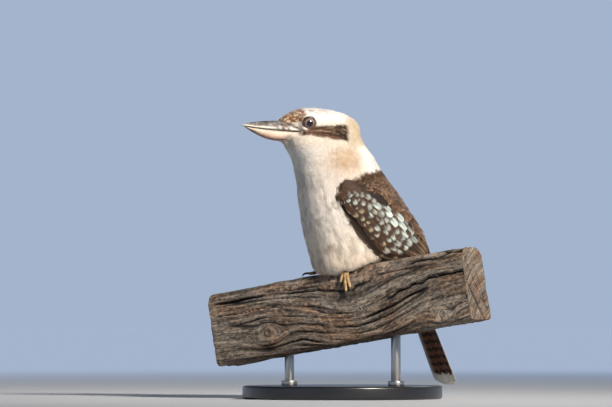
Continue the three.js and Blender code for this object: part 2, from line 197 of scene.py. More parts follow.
for side in ("left", "right"):
    low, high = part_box(f"stand_rod_{side}")
    radius = (high.x - low.x) / 2
    middle = (low + high) / 2
    rod = turned(ROD_SIDES, radius, high.z - low.z, middle, ROD_BEVEL, 2)
    collar_middle = (middle.x, middle.y, base_top + COLLAR_HEIGHT / 2)
    turned(ROD_SIDES, radius + COLLAR_WALL, COLLAR_HEIGHT, collar_middle, COLLAR_BEVEL, 3)
    rod.select_set(True)
    bpy.ops.object.join()
    bpy.ops.object.shade_smooth_by_angle(angle=SMOOTH_BELOW)
    settle(bpy.context.active_object, f"rod_{side}", steel, "stand_rod", f"stand_rod_{side}")

# ---------------------------------------------------------------- perch
# A short length of old hardwood fence timber, sawn off square at both ends. Years of sun and rain have
# turned it grey, worn the soft early wood into furrows between the rings and opened deep checks.

FEET = np.array([4.7, -6.47, 135.0])
CROSSING = math.radians(54)
SLOPE = math.radians(9.5)
LEVEL_RUN = np.array([math.sin(CROSSING), math.cos(CROSSING), 0])
RUN = LEVEL_RUN * math.cos(SLOPE) + np.array([0, 0, math.sin(SLOPE)])
FRONT = np.array([math.cos(CROSSING), -math.sin(CROSSING), 0])
ABOVE = np.cross(FRONT, RUN)
WOOD_VOXEL = 1.09 * MM
# Where the tree's pith ran, across and up, and where and how far the rings round it sag.
PITH = (-70.0, -150.0)
SAG_AT, SAG_LENGTH, SAG_DEPTH = 18.0, 62.0, 21.0
# Knots on the front face: along, up and size.
KNOTS = [(-84.0, -52.0, 15.0), (118.0, -66.0, 11.0)]
CHECKS = [(112, -27, 62, 0.7, 5.0), (66, -47, 44, 0.7, 4.5), (118, -8, 40, 0.6, 3.5),
          (-112, -13, 34, 0.8, 4.5), (10, -24, 36, 0.5, 2.5), (-34, -17, 30, 0.5, 3.0),
          (-58, -66, 40, 0.7, 4.0), (30, -62, 45, 0.5, 3.0), (-10, -44, 30, 0.5, 2.4)]
# How far in from the front face a check can run.
CHECK_REACH = 30


def cad_copy(*nodes):
    """One new mesh made of copies of CAD nodes, with their corners merged."""
    bpy.ops.object.select_all(action="DESELECT")
    for node in nodes:
        copy = bpy.data.objects.new(node + "_copy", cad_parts[node].data.copy())
        bpy.context.scene.collection.objects.link(copy)
        copy.select_set(True)
        bpy.context.view_layer.objects.active = copy
    if len(nodes) > 1:
        bpy.ops.object.join()
    copy = bpy.context.active_object
    copy.data.materials.clear()
    with edit_mode():
        bpy.ops.mesh.remove_doubles(threshold=0.01 * MM)
    return copy


def evened(piece, voxel, passes):
    """Rebuilds a mesh as one closed skin of even faces, and smooths it."""
    shape_with(piece, "REMESH", mode="VOXEL", voxel_size=voxel)
    shape_with(piece, "SMOOTH", factor=0.5, iterations=passes)


def corners(piece):
    """The places of a mesh's corners, in millimetres."""
    places = np.empty(len(piece.data.vertices) * 3)
    piece.data.vertices.foreach_get("co", places)
    return places.reshape(-1, 3) / MM


def corner_normals(piece):
    """The outward direction at each of a mesh's corners."""
    ways = np.empty(len(piece.data.vertices) * 3, np.float32)
    piece.data.vertex_normals.foreach_get("vector", ways)
    return ways.reshape(-1, 3).astype(float)


def move_corners(piece, places):
    """Puts a mesh's corners at places in millimetres."""
    piece.data.vertices.foreach_set("co", (places * MM).astype(np.float32).ravel())
    piece.data.update()


def keep_values(piece, name, values):
    """Keeps a value, a vector or a colour for each corner of a mesh, for its material to read."""
    kinds = {1: ("FLOAT", "value"), 3: ("FLOAT_VECTOR", "vector"), 4: ("FLOAT_COLOR", "color")}
    kind, field = kinds[values.size // len(values)]
    layer = piece.data.attributes.new(name, kind, "POINT")
    layer.data.foreach_set(field, np.ascontiguousarray(values, np.float32).ravel())


def ease(value, start, end):
    """0 up to start, 1 from end on, and a smooth rise between them."""
    share = np.clip((value - start) / (end - start), 0, 1)
    return share * share * (3 - 2 * share)


def noise(places, scale, seed=0):
    """Smooth random values from 0 to 1 that change over a length of scale, one for each place."""
    at = places / scale + 1000.0
    cell = np.floor(at).astype(np.int64)
    part = at - cell
    part = part * part * (3 - 2 * part)
    total = np.zeros(len(places))
    for corner in product((0, 1), repeat=3):
        # Large primes mix a cell's three numbers into one that looks random.
        key = (cell + corner) @ np.array([73856093, 19349663, 83492791]) + seed * 9176213
        key = ((key ^ (key >> 13)) * 1274126177) & 0xFFFFFFFF
        value = ((key ^ (key >> 15)) & 0xFFFF) / 0xFFFF
        total += value * np.prod(np.where(corner, part, 1 - part), axis=1)
    return total


def ring_count(beam):
    """How far out in the tree each place grew. It is the same all along one ring."""
    along, across, up = beam.T
    sunk = SAG_DEPTH * np.exp(-((along - SAG_AT) / SAG_LENGTH) ** 2) * ease(-up, -6, 48)
    waves = 5 * (noise(beam * (1, 0.6, 0.6), 70, 3) - 0.5) + 2.2 * (noise(beam, 23, 4) - 0.5)
    radius = np.hypot(across - PITH[0], up + sunk + waves - PITH[1])
    for at, height, size in KNOTS:
        away = np.hypot((along - at) * 0.8, up - height)
        near = np.exp(-(away / size) ** 2)
        at_knot = math.hypot(across.max() - PITH[0], height - PITH[1])
        radius = radius * (1 - near) + (at_knot + away * 0.8) * near
    return radius


perch = cad_copy("perch")
evened(perch, WOOD_VOXEL, 3)
places = corners(perch)
outward = corner_normals(perch)
# Places on the beam are along, across and up, counted from midway between the feet.
beam = (places - FEET) @ np.array([RUN, FRONT, ABOVE]).T
rings = ring_count(beam)
on_end = ease(np.abs(outward @ RUN), 0.5, 0.8)
along_grain = np.column_stack([rings, beam[:, 0] / 26, beam[:, 1] / 26])
furrows = 1 - ease(noise(along_grain, 2.1, 11), 0.22, 0.62)
fine_furrows = 1 - ease(noise(along_grain * (1, 1.6, 1.6), 1.15, 12), 0.25, 0.6)
splits = 1 - ease(np.abs(noise(along_grain * (1, 0.8, 0.8), 6.5, 13) - 0.5), 0.0, 0.07)
splits *= ease(noise(beam, 34, 14), 0.42, 0.6)
checks = np.zeros(len(places))
face_across = beam[:, 1].max()
for along, up, length, half, depth in CHECKS:
    level = ring_count(np.array([[along, face_across, up]]))[0]
    wander = 1.6 * (noise(beam * (1, 0, 0), 9, int(along) + 300) - 0.5)
    near = np.exp(-((rings - level + wander) / half) ** 2)
    near *= ease(length - np.abs(beam[:, 0] - along), 0, 16) * (beam[:, 1] > face_across - CHECK_REACH)
    checks = np.maximum(checks, near * depth)
spoke = np.arctan2(beam[:, 2] - PITH[1], beam[:, 1] - PITH[0])
spokes = np.column_stack([spoke * 90, rings / 30, np.sign(beam[:, 0])])
end_checks = 1 - ease(np.abs(noise(spokes, 7, 15) - 0.5), 0.0, 0.045)
worn = 0.9 * ease(noise(beam * (0.5, 1, 1), 9, 16), 0.35, 0.9) + 0.5 * ease(noise(beam, 3.4, 17), 0.4, 1)
side_wear = 0.75 * furrows + 0.4 * fine_furrows + 2.4 * splits + checks + worn
end_wear = 0.3 * furrows + 0.2 * fine_furrows + 3.0 * end_checks + 0.4 * worn
move_corners(perch, places - outward * (side_wear * (1 - on_end) + end_wear * on_end)[:, None])
# How deep the checks and furrows are, kept for the finish to paint the shade in them.
crack_shade = np.clip(checks / 2.4 + splits * 0.9, 0, 1) * (1 - on_end) + end_checks * on_end
keep_values(perch, "Grain", np.column_stack([rings, beam[:, 0], beam[:, 1]]))
keep_values(perch, "CrackShade", crack_shade)
keep_values(perch, "FurrowShade", np.clip(0.65 * furrows + 0.45 * fine_furrows, 0, 1))
bpy.ops.object.shade_smooth()

# Silvered hardwood: grey-brown fibres under warmer patches, pale flecks and dark pits, with painted shade,
# near black, in the furrows and checks. The grain runs in millimetres out from the pith, along and across.
wood = finish("weathered_hardwood", Roughness=0.86, Specular_IOR_Level=0.3)
grain = add(wood, "Attribute", output="Vector", attribute_name="Grain")
patterns = []
for scale, detail, roughness in (
        ((0.6, 0.03, 0.03), 6.0, 0.78), ((0.09, 0.022, 0.03), 3.0, 0.5), ((0.75, 0.26, 0.26), 4.0, 0.6)):
    at = add(wood, "Mapping", {"Vector": grain, "Scale": scale})
    patterns.append(add(wood, "TexNoise", {
        "Vector": at, "Scale": 1.0, "Detail": detail, "Roughness": roughness}))
fibres, patches, flecks = patterns
furrow_shade = add(wood, "Attribute", output="Fac", attribute_name="FurrowShade")
crack_shade = add(wood, "Attribute", output="Fac", attribute_name="CrackShade")
colour = add(wood, "ValToRGB", {"Fac": fibres}, stops=[(0.4, "#37322d"), (0.6, "#988e82")])
warm = add(wood, "ValToRGB", {"Fac": fibres}, stops=[(0.4, "#33251c"), (0.6, "#947054")])
for pattern, start, end, most, tone in (
        (patches, 0.45, 0.62, 0.7, warm), (flecks, 0.54, 0.7, 0.75, "#b79c7d"),
        (flecks, 0.49, 0.33, 0.8, "#2a221d"), (furrow_shade, 0.0, 1.0, 0.62, "#2b2622"),
        (crack_shade, 0.0, 1.0, 1.0, "#0d0b0a")):
    share = add(wood, "MapRange", {"Value": pattern, "From Min": start, "From Max": end, "To Max": most})
    colour = add(wood, "MixRGB", {"Fac": share, "Color1": colour, "Color2": tone})
bump = add(wood, "Bump", {"Height": fibres, "Strength": 0.7, "Distance": 0.5 * MM})
feed(wood, Base_Color=colour, Normal=bump)
settle(perch, "perch_beam", wood, "weathered_timber", "perch")

# ---------------------------------------------------------------- legs, feet and claws
# The short legs and the syndactyl toes are bare skin under horny plates: wide scutes across the top of
# each toe and fine grains below. The claws are separate cones of dark horn.

FOOT_VOXEL = 0.42 * MM
CLAW_VOXEL = 0.28 * MM
# How long one scute is, and how far its middle stands out.
SCUTE = 1.7
SCUTE_RISE = 0.22

# Keratin scutes over skin: yellow-buff, satin, with darker skin in the joints between them.
scutes = finish("horny_foot_scutes", Roughness=0.5, IOR=1.45)
place = add(scutes, "TexCoord", output="Object")
joint_at = add(scutes, "Attribute", output="Fac", attribute_name="Joint")
blotches = add(scutes, "TexNoise", {"Vector": place, "Scale": 260.0, "Detail": 3.0})
colour = add(scutes, "ValToRGB", {"Fac": blotches}, stops=[(0.35, "#8f7048"), (0.65, "#c2a273")])
colour = add(scutes, "MixRGB", {"Fac": joint_at, "Color1": colour, "Color2": "#5d4830"})
grains = add(scutes, "TexVoronoi", {"Vector": place, "Scale": 900.0})
bump = add(scutes, "Bump", {"Height": grains, "Strength": 0.35, "Distance": 0.2 * MM})
feed(scutes, Base_Color=colour, Normal=bump)

# Claw horn: black-brown, polished by use, with paler streaks.
claw_horn = finish("claw_horn", Roughness=0.32, IOR=1.55)
place = add(claw_horn, "TexCoord", output="Object")
streaks = add(claw_horn, "TexNoise", {"Vector": place, "Scale": 500.0, "Detail": 2.0})
colour = add(claw_horn, "ValToRGB", {"Fac": streaks}, stops=[(0.3, "#1d1815"), (0.7, "#4b3d31")])
feed(claw_horn, Base_Color=colour)

for side in ("left", "right"):
    foot = cad_copy(f"leg_{side}", f"foot_{side}")
    evened(foot, FOOT_VOXEL, 6)
    places = corners(foot)
    outward = corner_normals(foot)
    low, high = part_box(f"leg_{side}")
    sole = np.array([(low.x + high.x) / 2, low.y, low.z]) / MM
    wave = np.abs(np.sin(math.pi * np.linalg.norm(places - sole, axis=1) / SCUTE))
    joint = (1 - ease(wave, 0.0, 0.45)) * ease(outward[:, 2], -0.3, 0.2)
    move_corners(foot, places + outward * (SCUTE_RISE * (wave - 0.7 - joint))[:, None])
    keep_values(foot, "Joint", joint * 0.75)
    bpy.ops.object.shade_smooth()
    settle(foot, f"foot_{side}_scutes", scutes, "leg_skin", f"leg_{side}", f"foot_{side}")
    toes = [f"claw_{side}_{toe}" for toe in ("inner", "middle", "outer", "hind")]
    claws = cad_copy(*toes)
    evened(claws, CLAW_VOXEL, 4)
    bpy.ops.object.shade_smooth()
    settle(claws, f"claws_{side}", claw_horn, "claw_horn", *toes)

# ---------------------------------------------------------------- skin
# One skin covers head, neck, trunk and the folded wings' arms. It is thin bare skin, tinted like the
# down that covers it, and lies inside the outline by the depth of the coat.

SKIN_VOXEL = 1.25 * MM
OVERLAP = 0.5
HEAD_PIVOT = 4.8
HEAD_TURN = math.radians(11)
EYE_AHEAD, EYE_OUT, EYE_UP = 34.4, 18.2, 153.8
LID_RADIUS = 5.95
CHIN_AHEAD, CHIN_UP = 55, 131
GAPE_AHEAD, GAPE_UP = 43.5, 145.2
# How far ahead on the head the skin's core runs on inside the bill.
BILL_CORE = 74
# The middle line that the coat follows from the bill over the throat and down to the tail, as
# forward and up from the feet.
LIE_LINE = np.array([(70, 148), (35, 148), (12, 140), (4, 120), (0, 95), (-12, 65), (-25, 35), (-45, 10),
                     (-80, -20), (-110, -70)], float)
# The folded wing's front and lower edge, and the groove under the shoulder feathers.
WING_EDGE = np.array([(17, 90), (21, 73), (13.5, 60), (7.5, 49), (-2, 37.5), (-11.5, 28), (-20.5, 17),
                      (-29.5, 8.6), (-45, -8), (-62, -26), (-110, -66)], float)
WING_GROOVE = np.array([(8, 91), (1.7, 90), (-14.5, 80), (-33, 67.7), (-50, 53), (-70, 36), (-82, 22.5),
                        (-112, -20)], float)
# Where the brown of the back ends against the white collar.
BROWN_TOP = np.array([(-60, 105), (-39, 103.4), (-13, 99.2), (-6, 96.3), (1.3, 92.2), (11, 91.7),
                      (16, 88.7), (30, 84)], float)
# How near to a wing's solid a place has to be to lie on it.
WING_REACHED = 3.6
# How much darker the skin is painted, as the shade under the coat, and how far apart the black bars of the
# rump are.
SKIN_SHADE = 0.82
RUMP_BAR = 6


def bird_places(places):
    """Places as forward, left and up from the feet."""
    return (places - FEET)[:, [1, 0, 2]] * (-1, 1, 1)


def head_places(bird):
    """Places as ahead, to the left and up on the head, which is turned a little on the neck."""
    forward = bird[:, 0] - HEAD_PIVOT
    ahead = forward * math.cos(HEAD_TURN) - bird[:, 1] * math.sin(HEAD_TURN)
    left = forward * math.sin(HEAD_TURN) + bird[:, 1] * math.cos(HEAD_TURN)
    return np.column_stack([ahead, left, bird[:, 2]])


def unit(ways):
    """The same directions, each of length 1."""
    return ways / np.maximum(np.linalg.norm(ways, axis=-1, keepdims=True), 1e-9)


def lie(bird):
    """Which way the coat lies at each place, and how far behind the middle line the place is."""
    flat = np.zeros((len(bird), 2))
    behind, weights = np.zeros((2, len(bird)))
    for start, end in zip(LIE_LINE[:-1], LIE_LINE[1:]):
        length = np.linalg.norm(end - start)
        along = (end - start) / length
        away = bird[:, [0, 2]] - start
        away -= np.clip(away @ along / length, 0, 1)[:, None] * (end - start)
        weight = 1 / (np.sum(away ** 2, axis=1) + 6) ** 2
        flat += weight[:, None] * along
        behind += weight * (along[1] * away[:, 0] - along[0] * away[:, 1])
        weights += weight
    flat /= weights[:, None]
    return unit(np.column_stack([np.zeros(len(bird)), -flat[:, 0], flat[:, 1]])), behind / weights


def within(value, low, high, soft):
    """1 between two limits and 0 outside, with soft borders."""
    return ease(value, low - soft, low + soft) * (1 - ease(value, high - soft, high + soft))


def beside(line, bird):
    """How far above or behind a line, seen from the side, each place is. It is below 0 in front of it."""
    nearest_yet = np.full(len(bird), np.inf)
    result = np.zeros(len(bird))
    for start, end in zip(line[:-1], line[1:]):
        way = unit(end - start)
        away = bird[:, [0, 2]] - start
        along = np.clip(away @ way, 0, np.linalg.norm(end - start))
        distance = np.linalg.norm(away - along[:, None] * way, axis=1)
        side = np.sign(way[1] * away[:, 0] - way[0] * away[:, 1])
        result = np.where(distance < nearest_yet, side * distance, result)
        nearest_yet = np.minimum(distance, nearest_yet)
    return result


def height_over(line, bird):
    """How far above a line, seen from the side, each place is."""
    order = np.argsort(line[:, 0])
    return bird[:, 2] - np.interp(bird[:, 0], line[order, 0], line[order, 1])


def bill_notch(head):
    """How far inside the wedge of bare bill a place on the face is. The wedge's point is the gape."""
    above = head[:, 2] - GAPE_UP
    margin = GAPE_AHEAD + np.where(above > 0, 1.5 * above, 2.3 * -above)
    return head[:, 0] - margin - 5 * ease(-above, 6, 9)


def coat_depth(bird):
    """The depth of the coat over the skin, in millimetres."""
    head = head_places(bird)
    ahead, left, up = head.T
    on_head = ease(up, 108, 134)
    depth = 2.4 * (1 - on_head) + 1.3 * on_head
    face = ease(ahead, 20, 46) * on_head
    depth = depth * (1 - face) + 0.6 * face
    eye = np.hypot(ahead - EYE_AHEAD, up - EYE_UP)
    depth *= 0.25 + 0.75 * np.where(up > 120, ease(eye, LID_RADIUS, 13), 1)
    nape = within(up, 126, 146, 5) * ease(-ahead, 8, 20)
    depth += 1.5 * nape + 0.6 * within(ahead, 42, 58, 7) * ease(up, 152, 160)
    # The feathers swell in front of the eye, which looks out past them.
    depth -= 2.4 * within(eye, 6.2, 9.5, 2.2) * ease(ahead - EYE_AHEAD, -3, 4) * (up > 120)
    # They also fill the corner between the bill and the throat.
    chin = np.exp(-((ahead - CHIN_AHEAD) / 6) ** 2 - ((up - CHIN_UP) / 6) ** 2)
    depth -= 2.6 * chin * (1 - ease(np.abs(left), 4, 10))
    tips = ease(-up, -14, 30)
    return depth * (1 - 0.75 * tips) + 4.2 * ease(bill_notch(head), -1.2, 2.4) * on_head


flesh = ("head", "neck", "trunk", "wing_left", "wing_right")
skin = cad_copy(*flesh, "bill_upper", "bill_lower")
move_corners(skin, corners(skin) + corner_normals(skin) * OVERLAP)
bill_way = np.array([-math.sin(HEAD_TURN), -math.cos(HEAD_TURN), 0])
bill_cut = FEET + (0, -HEAD_PIVOT, 0) + bill_way * BILL_CORE
with edit_mode():
    bpy.ops.mesh.bisect(plane_co=bill_cut * MM, plane_no=bill_way, use_fill=True, clear_outer=True)
evened(skin, SKIN_VOXEL, 24)
with edit_mode():
    bpy.ops.mesh.separate(type="LOOSE")
shells = sorted(bpy.context.selected_objects, key=lambda shell: len(shell.data.vertices))
skin = shells.pop()
for shell in shells:
    bpy.data.objects.remove(shell)
places = corners(skin)
depth = coat_depth(bird_places(places)) + OVERLAP
move_corners(skin, places - corner_normals(skin) * depth[:, None])
shape_with(skin, "SMOOTH", factor=0.5, iterations=4)
bpy.ops.object.select_all(action="DESELECT")
skin.select_set(True)
with edit_mode():
    bpy.ops.uv.smart_project(angle_limit=math.radians(66), island_margin=0.004)
skin.data.uv_layers[0].name = "OFBake"
bpy.ops.object.shade_smooth()


def surface_of(piece):
    """A tree for finding the nearest place on a mesh, in millimetres."""
    faces = [list(face.vertices) for face in piece.data.polygons]
    return BVHTree.FromPolygons(corners(piece).tolist(), faces)


skin_tree = surface_of(skin)
wing_tree = {side: surface_of(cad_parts[f"wing_{side}"]) for side in ("left", "right")}
# The middle of each face of the skin on its map.
skin_map = np.empty(len(skin.data.loops) * 2, np.float32)
skin.data.uv_layers["OFBake"].data.foreach_get("uv", skin_map)
face_sizes = np.array([face.loop_total for face in skin.data.polygons])
face_starts = np.concatenate([[0], np.cumsum(face_sizes)[:-1]])
face_map = np.add.reduceat(skin_map.reshape(-1, 2), face_starts) / face_sizes[:, None]


def on_wing(places):
    """Whether each place lies against one of the folded wings, behind the feathers of the breast."""
    result = np.zeros(len(places), bool)
    bird = bird_places(places)
    behind_edge = (beside(WING_EDGE, bird) > 0) | (bird[:, 2] < -6)
    for tree in wing_tree.values():
        for i in np.flatnonzero(behind_edge & ~result):
            result[i] = tree.find_nearest(Vector(places[i]), WING_REACHED)[0] is not None
    return result


def plain(code, *shape):
    """One hex colour, for each of many places."""
    return np.tile(np.array(linear(code)[:3]), (*shape, 1))


def dyed(colours, *dyes):
    """Colours moved in turn towards others, each a hex colour or an array, by a share for each place."""
    for dye, share in dyes:
        target = plain(dye, 1)[0] if isinstance(dye, str) else dye
        colours = colours + (target - colours) * np.clip(share, 0, 1)[..., None]
    return colours


def plumage(places, winged):
    """The colour of the coat at each place, the same for the skin, the down and the feathers."""
    bird = bird_places(places)
    forward, left, up = bird.T
    ahead = head_places(bird)[:, 0]
    behind = lie(bird)[1]
    coarse = noise(places, 7, 21) - 0.5
    fine = noise(places, 2.2, 22) - 0.5
    streak = noise(places * (1, 1, 0.25), 2.4, 23) - 0.5
    combed = noise(np.column_stack([ahead * 0.2, left * 0.3, up]), 0.9, 24) - 0.5
    speck = noise(places, 1.25, 25) - 0.5
    ragged = 1.8 * fine + 1.4 * coarse
    buff = np.exp(-(((forward - 8) / 25) ** 2 + ((up - 114) / 18) ** 2) ** 1.3) * ease(np.abs(left), 6, 20)
    # A dark mask from the bill through the eye to a square end on the ear coverts.
    nape = within(ahead + 2 * ragged, -40, -7, 6) * within(up + ragged, 126, 160, 7)
    below = 140.2 + (ahead - 25) * 0.2
    mask = within(ahead + 0.8 * ragged, -6.5, 36, 2.2) * ease(up + 0.7 * ragged, below - 1.2, below + 1.2)
    mask *= 1 - ease(up + 0.6 * ragged, 149.4, 151.8)
    pale_streak = within(up - (ahead - 20) * 0.12, 144.3, 145.5, 0.7) * within(ahead, 8, 31, 3)
    rust = within(up + 0.9 * ragged, below - 1.0, below + 2.0, 0.9) * within(ahead, 2, 46, 4)
    rust = np.maximum(rust, within(ahead, 29, 44, 2) * within(up + 0.6 * ragged, 141.0, 146.5, 1.2))
    # The forehead is brown, streaked and speckled, and thins out above the eye.
    brow = ease(ahead + 1.2 * ragged, 35, 39) * ease(up + 0.5 * ragged, 153.4, 155.4)
    brow = np.maximum(brow, ease(ahead + 1.2 * ragged, 49, 52) * ease(up + 0.5 * ragged, 152.4, 153.8))
    speckle = within(ahead, 10, 40, 4) * ease(up, 162, 166) * ease(speck + 0.3 * coarse, 0.14, 0.22)
    front_of_eye = within(ahead, 39.5, 43, 1.2) * within(up, 150, 160, 1.6)
    lores = within(ahead, 44.5, 60, 1.2) * within(up + 0.6 * ragged, 146.5, 152.6, 1.2)
    eye = np.hypot(ahead - EYE_AHEAD, up - EYE_UP)
    rim = (1 - ease(eye + 0.3 * ragged, 6.2, 7.0)) * (up > 130)
    # Back and wings: brown under a line across the shoulders, with a rufous, barred root of the tail.
    dark = ease(-height_over(BROWN_TOP, bird) - 1.2 * ragged, -1, 1) * np.maximum(winged, ease(behind, 2, 8))
    # The groove under the shoulder feathers is painted darker, dark feathers with painted shade, and a dark
    # spot on it is the painted shadow of a gap between shoulder feathers and wing.
    parting_dark_and_shade = 1 - ease(np.abs(height_over(WING_GROOVE, bird) - 1), 1.2, 3.4)
    parting_dark_and_shade = np.maximum(parting_dark_and_shade * 0.75, np.exp(-((forward + 12) / 6) ** 2 - ((up - 87.5) / 2.6) ** 2))
    rump = dark * (1 - ease(up, 8, 26)) * (1 - winged)
    bars = 0.5 + 0.5 * np.sin(2 * math.pi * (forward * 0.4 + up * 0.9) / RUMP_BAR)
    return dyed(
        plain("#f2e9de", len(places)),
        ("#f5efe6", ease(up, 92, 118)),
        ("#f6e5ce", (1 - ease(up, 0, 52)) * 0.8),
        # Grey streaks on the breast and belly are painted shade between the locks.
        ("#b3a899", ease(streak, 0.05, 0.26) * (1 - ease(up, 84, 104)) * 0.6),
        ("#b89f80", ease(coarse, 0.12, 0.4) * (1 - ease(up, 28, 50)) * 0.35),
        ("#c3a074", buff * (0.74 + 0.4 * fine + 0.4 * speck)),
        # The cheeks are between cream and buff, the crown white, the nape cream.
        ("#e6d9c7", ease(up + ragged, 124, 132) * 0.75),
        ("#f8f5f0", ease(up + ragged, 152, 157) * (1 - ease(ahead, 44, 56))),
        ("#d3bf9f", nape * (0.8 + 0.6 * fine)),
        ("#fbf8f0", ease(behind, 6, 22) * within(up, 100, 128, 6)),
        ("#533f30", mask),
        ("#382a21", mask * (1 - ease(ahead, -2, 16)) * 0.75),
        ("#241b16", mask * ease(-combed, 0.05, 0.25) * 0.6),
        ("#a88e73", mask * ease(combed, 0.08, 0.26) * 0.5),
        ("#b8977a", pale_streak * 0.8),
        ("#7f5c45", rust * (0.8 + 1.2 * fine)),
        ("#4a2f20", rust * ease(speck, 0.05, 0.2) * 0.8),
        ("#b08256", brow * (0.85 + 0.4 * coarse)),
        ("#5f412a", brow * ease(speck, 0.08, 0.18) * 0.9),
        ("#f0e0c4", brow * ease(-speck, 0.1, 0.2) * 0.85),
        ("#9a7048", speckle * 0.75),
        ("#6a4c35", front_of_eye * 0.7),
        ("#e9dcc6", lores * (0.9 + fine)),
        ("#5a4636", lores * ease(speck, 0.12, 0.2) * 0.8),
        ("#46362c", rim * 0.85),
        ("#58422f", dark),
        ("#392922", dark * ease(coarse + streak, 0.0, 0.34) * 0.7),
        # Dark feathers and painted shade in the groove under the shoulder feathers.
        ("#1f1713", parting_dark_and_shade * dark * winged * ease(-forward, -2, 6)),
        ("#9a5c35", rump),
        ("#241a15", rump * ease(bars, 0.6, 0.8)))


def keep_colours(piece, colours):
    """Keeps a colour for each corner of a mesh as its plumage."""
    keep_values(piece, "Plumage", np.column_stack([colours, np.ones(len(colours))]))


def grained(material, colour, pattern, spread, tones, strength=0, depth=0):
    """Lets a pattern lighten and darken a finish's colour, and stand out from its surface."""
    tint = add(material, "MapRange", {"Value": pattern, "From Min": spread[0], "From Max": spread[1],
                                      "To Min": tones[0], "To Max": tones[1]})
    feed(material, Base_Color=add(material, "MixRGB", {"Fac": 1.0, "Color1": colour, "Color2": tint},
                                  blend_type="MULTIPLY"))
    if strength:
        feed(material, Normal=add(material, "Bump", {
            "Height": pattern, "Strength": strength, "Distance": depth * MM}))


# Down and contour feathers: matt keratin with a soft sheen where the barbs catch the light.
down = finish("soft_down", Roughness=0.85, Specular_IOR_Level=0.15, Sheen_Weight=0.15, Sheen_Roughness=0.5)
place = add(down, "TexCoord", output="Object")
barbs = add(down, "TexNoise", {"Vector": place, "Scale": 900.0, "Detail": 3.0})
grained(down, add(down, "Attribute", attribute_name="Plumage"), barbs, (0.3, 0.7), (0.86, 1.06), 0.3, 0.2)

places = corners(skin)
keep_colours(skin, plumage(places, on_wing(places)) * SKIN_SHADE)
settle(skin, "skin", down, "body_plumage", *flesh)

# ---------------------------------------------------------------- body plumage
# Soft contour feathers cover the skin. Each is a shaft whose loose barbs part into a fan of narrow
# locks. They overlap like shingles along the lie of the coat, tiny round the eye and bill.

TUFT_PATCH = 0.003
# How far clumps of feathers lean aside, how much darker the roots are painted as the shade deep
# in the coat, and how the locks differ in tone from the tips.
LEAN = 0.5
ROOT_SHADE = 0.58
LOCK_TONE = 2.2
# How deep the roots are sunk, and how far up a feather its locks part.
ROOT_DEPTH = 0.25
LOCKS_PART = 0.12
CANDIDATES = 150000
# Where neck, breast, mantle and rump end, as heights over the feet.
NECK_END, BREAST_END, MANTLE_END, RUMP_END = 92, 38, 10, -60
rng = np.random.default_rng(7)


def scattered(piece, count):
    """Places scattered evenly over a mesh."""
    piece.data.calc_loop_triangles()
    corner = [triangle.vertices[:] for triangle in piece.data.loop_triangles]
    triangle = corners(piece)[np.array(corner)]
    sides = triangle[:, 1:] - triangle[:, :1]
    area = np.linalg.norm(np.cross(sides[:, 0], sides[:, 1]), axis=1)
    chosen = rng.choice(len(triangle), count, p=area / area.sum())
    share = rng.random((count, 2, 1))
    share = np.where(share.sum(axis=1, keepdims=True) > 1, 1 - share, share)
    return triangle[chosen, 0] + (share * sides[chosen]).sum(axis=1)


def thinned(points, room):
    """Which of the points to keep so that each has its room round it."""
    tree = KDTree(len(points))
    for i, point in enumerate(points):
        tree.insert(point, i)
    tree.balance()
    free = np.ones(len(points), bool)
    kept = []
    for i in range(len(points)):
        if free[i]:
            kept.append(i)
            for _, other, _ in tree.find_range(points[i], room[i]):
                free[other] = False
    return np.array(kept)


def nearest(tree, places):
    """The nearest place on a surface to each place, the surface's way out there, and its face."""
    found = [tree.find_nearest(Vector(place)) for place in places]
    return [np.array([hit[part] for hit in found]) for part in range(3)]


def walked(tree, roots, lengths, steps, swing):
    """Paths over a surface along the lie of the coat, turned aside by an angle, and the ways out."""
    place, way, face = nearest(tree, roots)
    path, outs = [place], [way]
    for _ in range(steps):
        flow = lie(bird_places(place))[0]
        flow = flow * np.cos(swing)[:, None] + np.cross(flow, way) * np.sin(swing)[:, None]
        flow = unit(flow - way * np.sum(flow * way, axis=1, keepdims=True))
        place, way, _ = nearest(tree, place + flow * (lengths / steps)[:, None])
        path.append(place)
        outs.append(way)
    return np.stack(path, axis=1), np.stack(outs, axis=1), face


def fan(locks, rows, spread):
    """A feather parted into locks, as points (along, across, lift) and faces."""
    points, faces = [], []
    for k in range(locks):
        lean = 2 * k / (locks - 1) - 1
        reach = 1 - 0.16 * lean * lean - 0.06 * (k % 2)
        for row in range(rows):
            half = spread / locks * (0.95 if row == 0 else 1.15 * (1 - 0.45 * row / rows))
            centre = lean * (0.45 + 0.55 * row / rows) * (1 - 1 / locks)
            along = LOCKS_PART + (reach - LOCKS_PART) * row / rows
            points += [(along, centre + side * half, 0.05 * (k % 3 - 1)) for side in (-1, 1)]
            if row:
                a = len(points) - 4
                faces.append((a, a + 1, a + 3, a + 2))
        points.append((reach, lean * 0.98, 0))
        tip = len(points) - 1
        faces.append((tip - 2, tip - 1, tip))
    return np.array(points), faces


def vane(rows, columns, shoulder, blunt=0.25):
    """A firm feather's vane, as points (along, across, lift) and faces, round at its end."""
    points, faces = [], []
    for row in range(rows + 1):
        along = math.sin(row / rows * math.pi / 2) ** 0.9
        half = 0.55 + 0.45 * min(along / 0.45, 1)
        if along > shoulder:
            round_end = max(1 - ((along - shoulder) / (1 - shoulder)) ** 2, 0)
            half = blunt * 0.2 + (1 - blunt * 0.2) * math.sqrt(round_end) ** (1 - blunt)
        for column in range(columns + 1):
            across = 2 * column / columns - 1
            droop = 0.06 * across * across * (1 - shoulder)
            points.append((along - droop * (row == rows), across * half, 0.05 * (1 - abs(across)) ** 3))
            if row and column:
                a = len(points) - 1
                faces.append((a - columns - 2, a - columns - 1, a, a - 1))
    return np.array(points), faces


def along_paths(values, along):
    """Values on each path at a part of the way along it, for each of the points."""
    at = np.clip(along, 0, 1) * (values.shape[1] - 1)
    before = np.minimum(at.astype(int), values.shape[1] - 2)
    part = (at - before)[None, :, None]
    return values[:, before] * (1 - part) + values[:, before + 1] * part


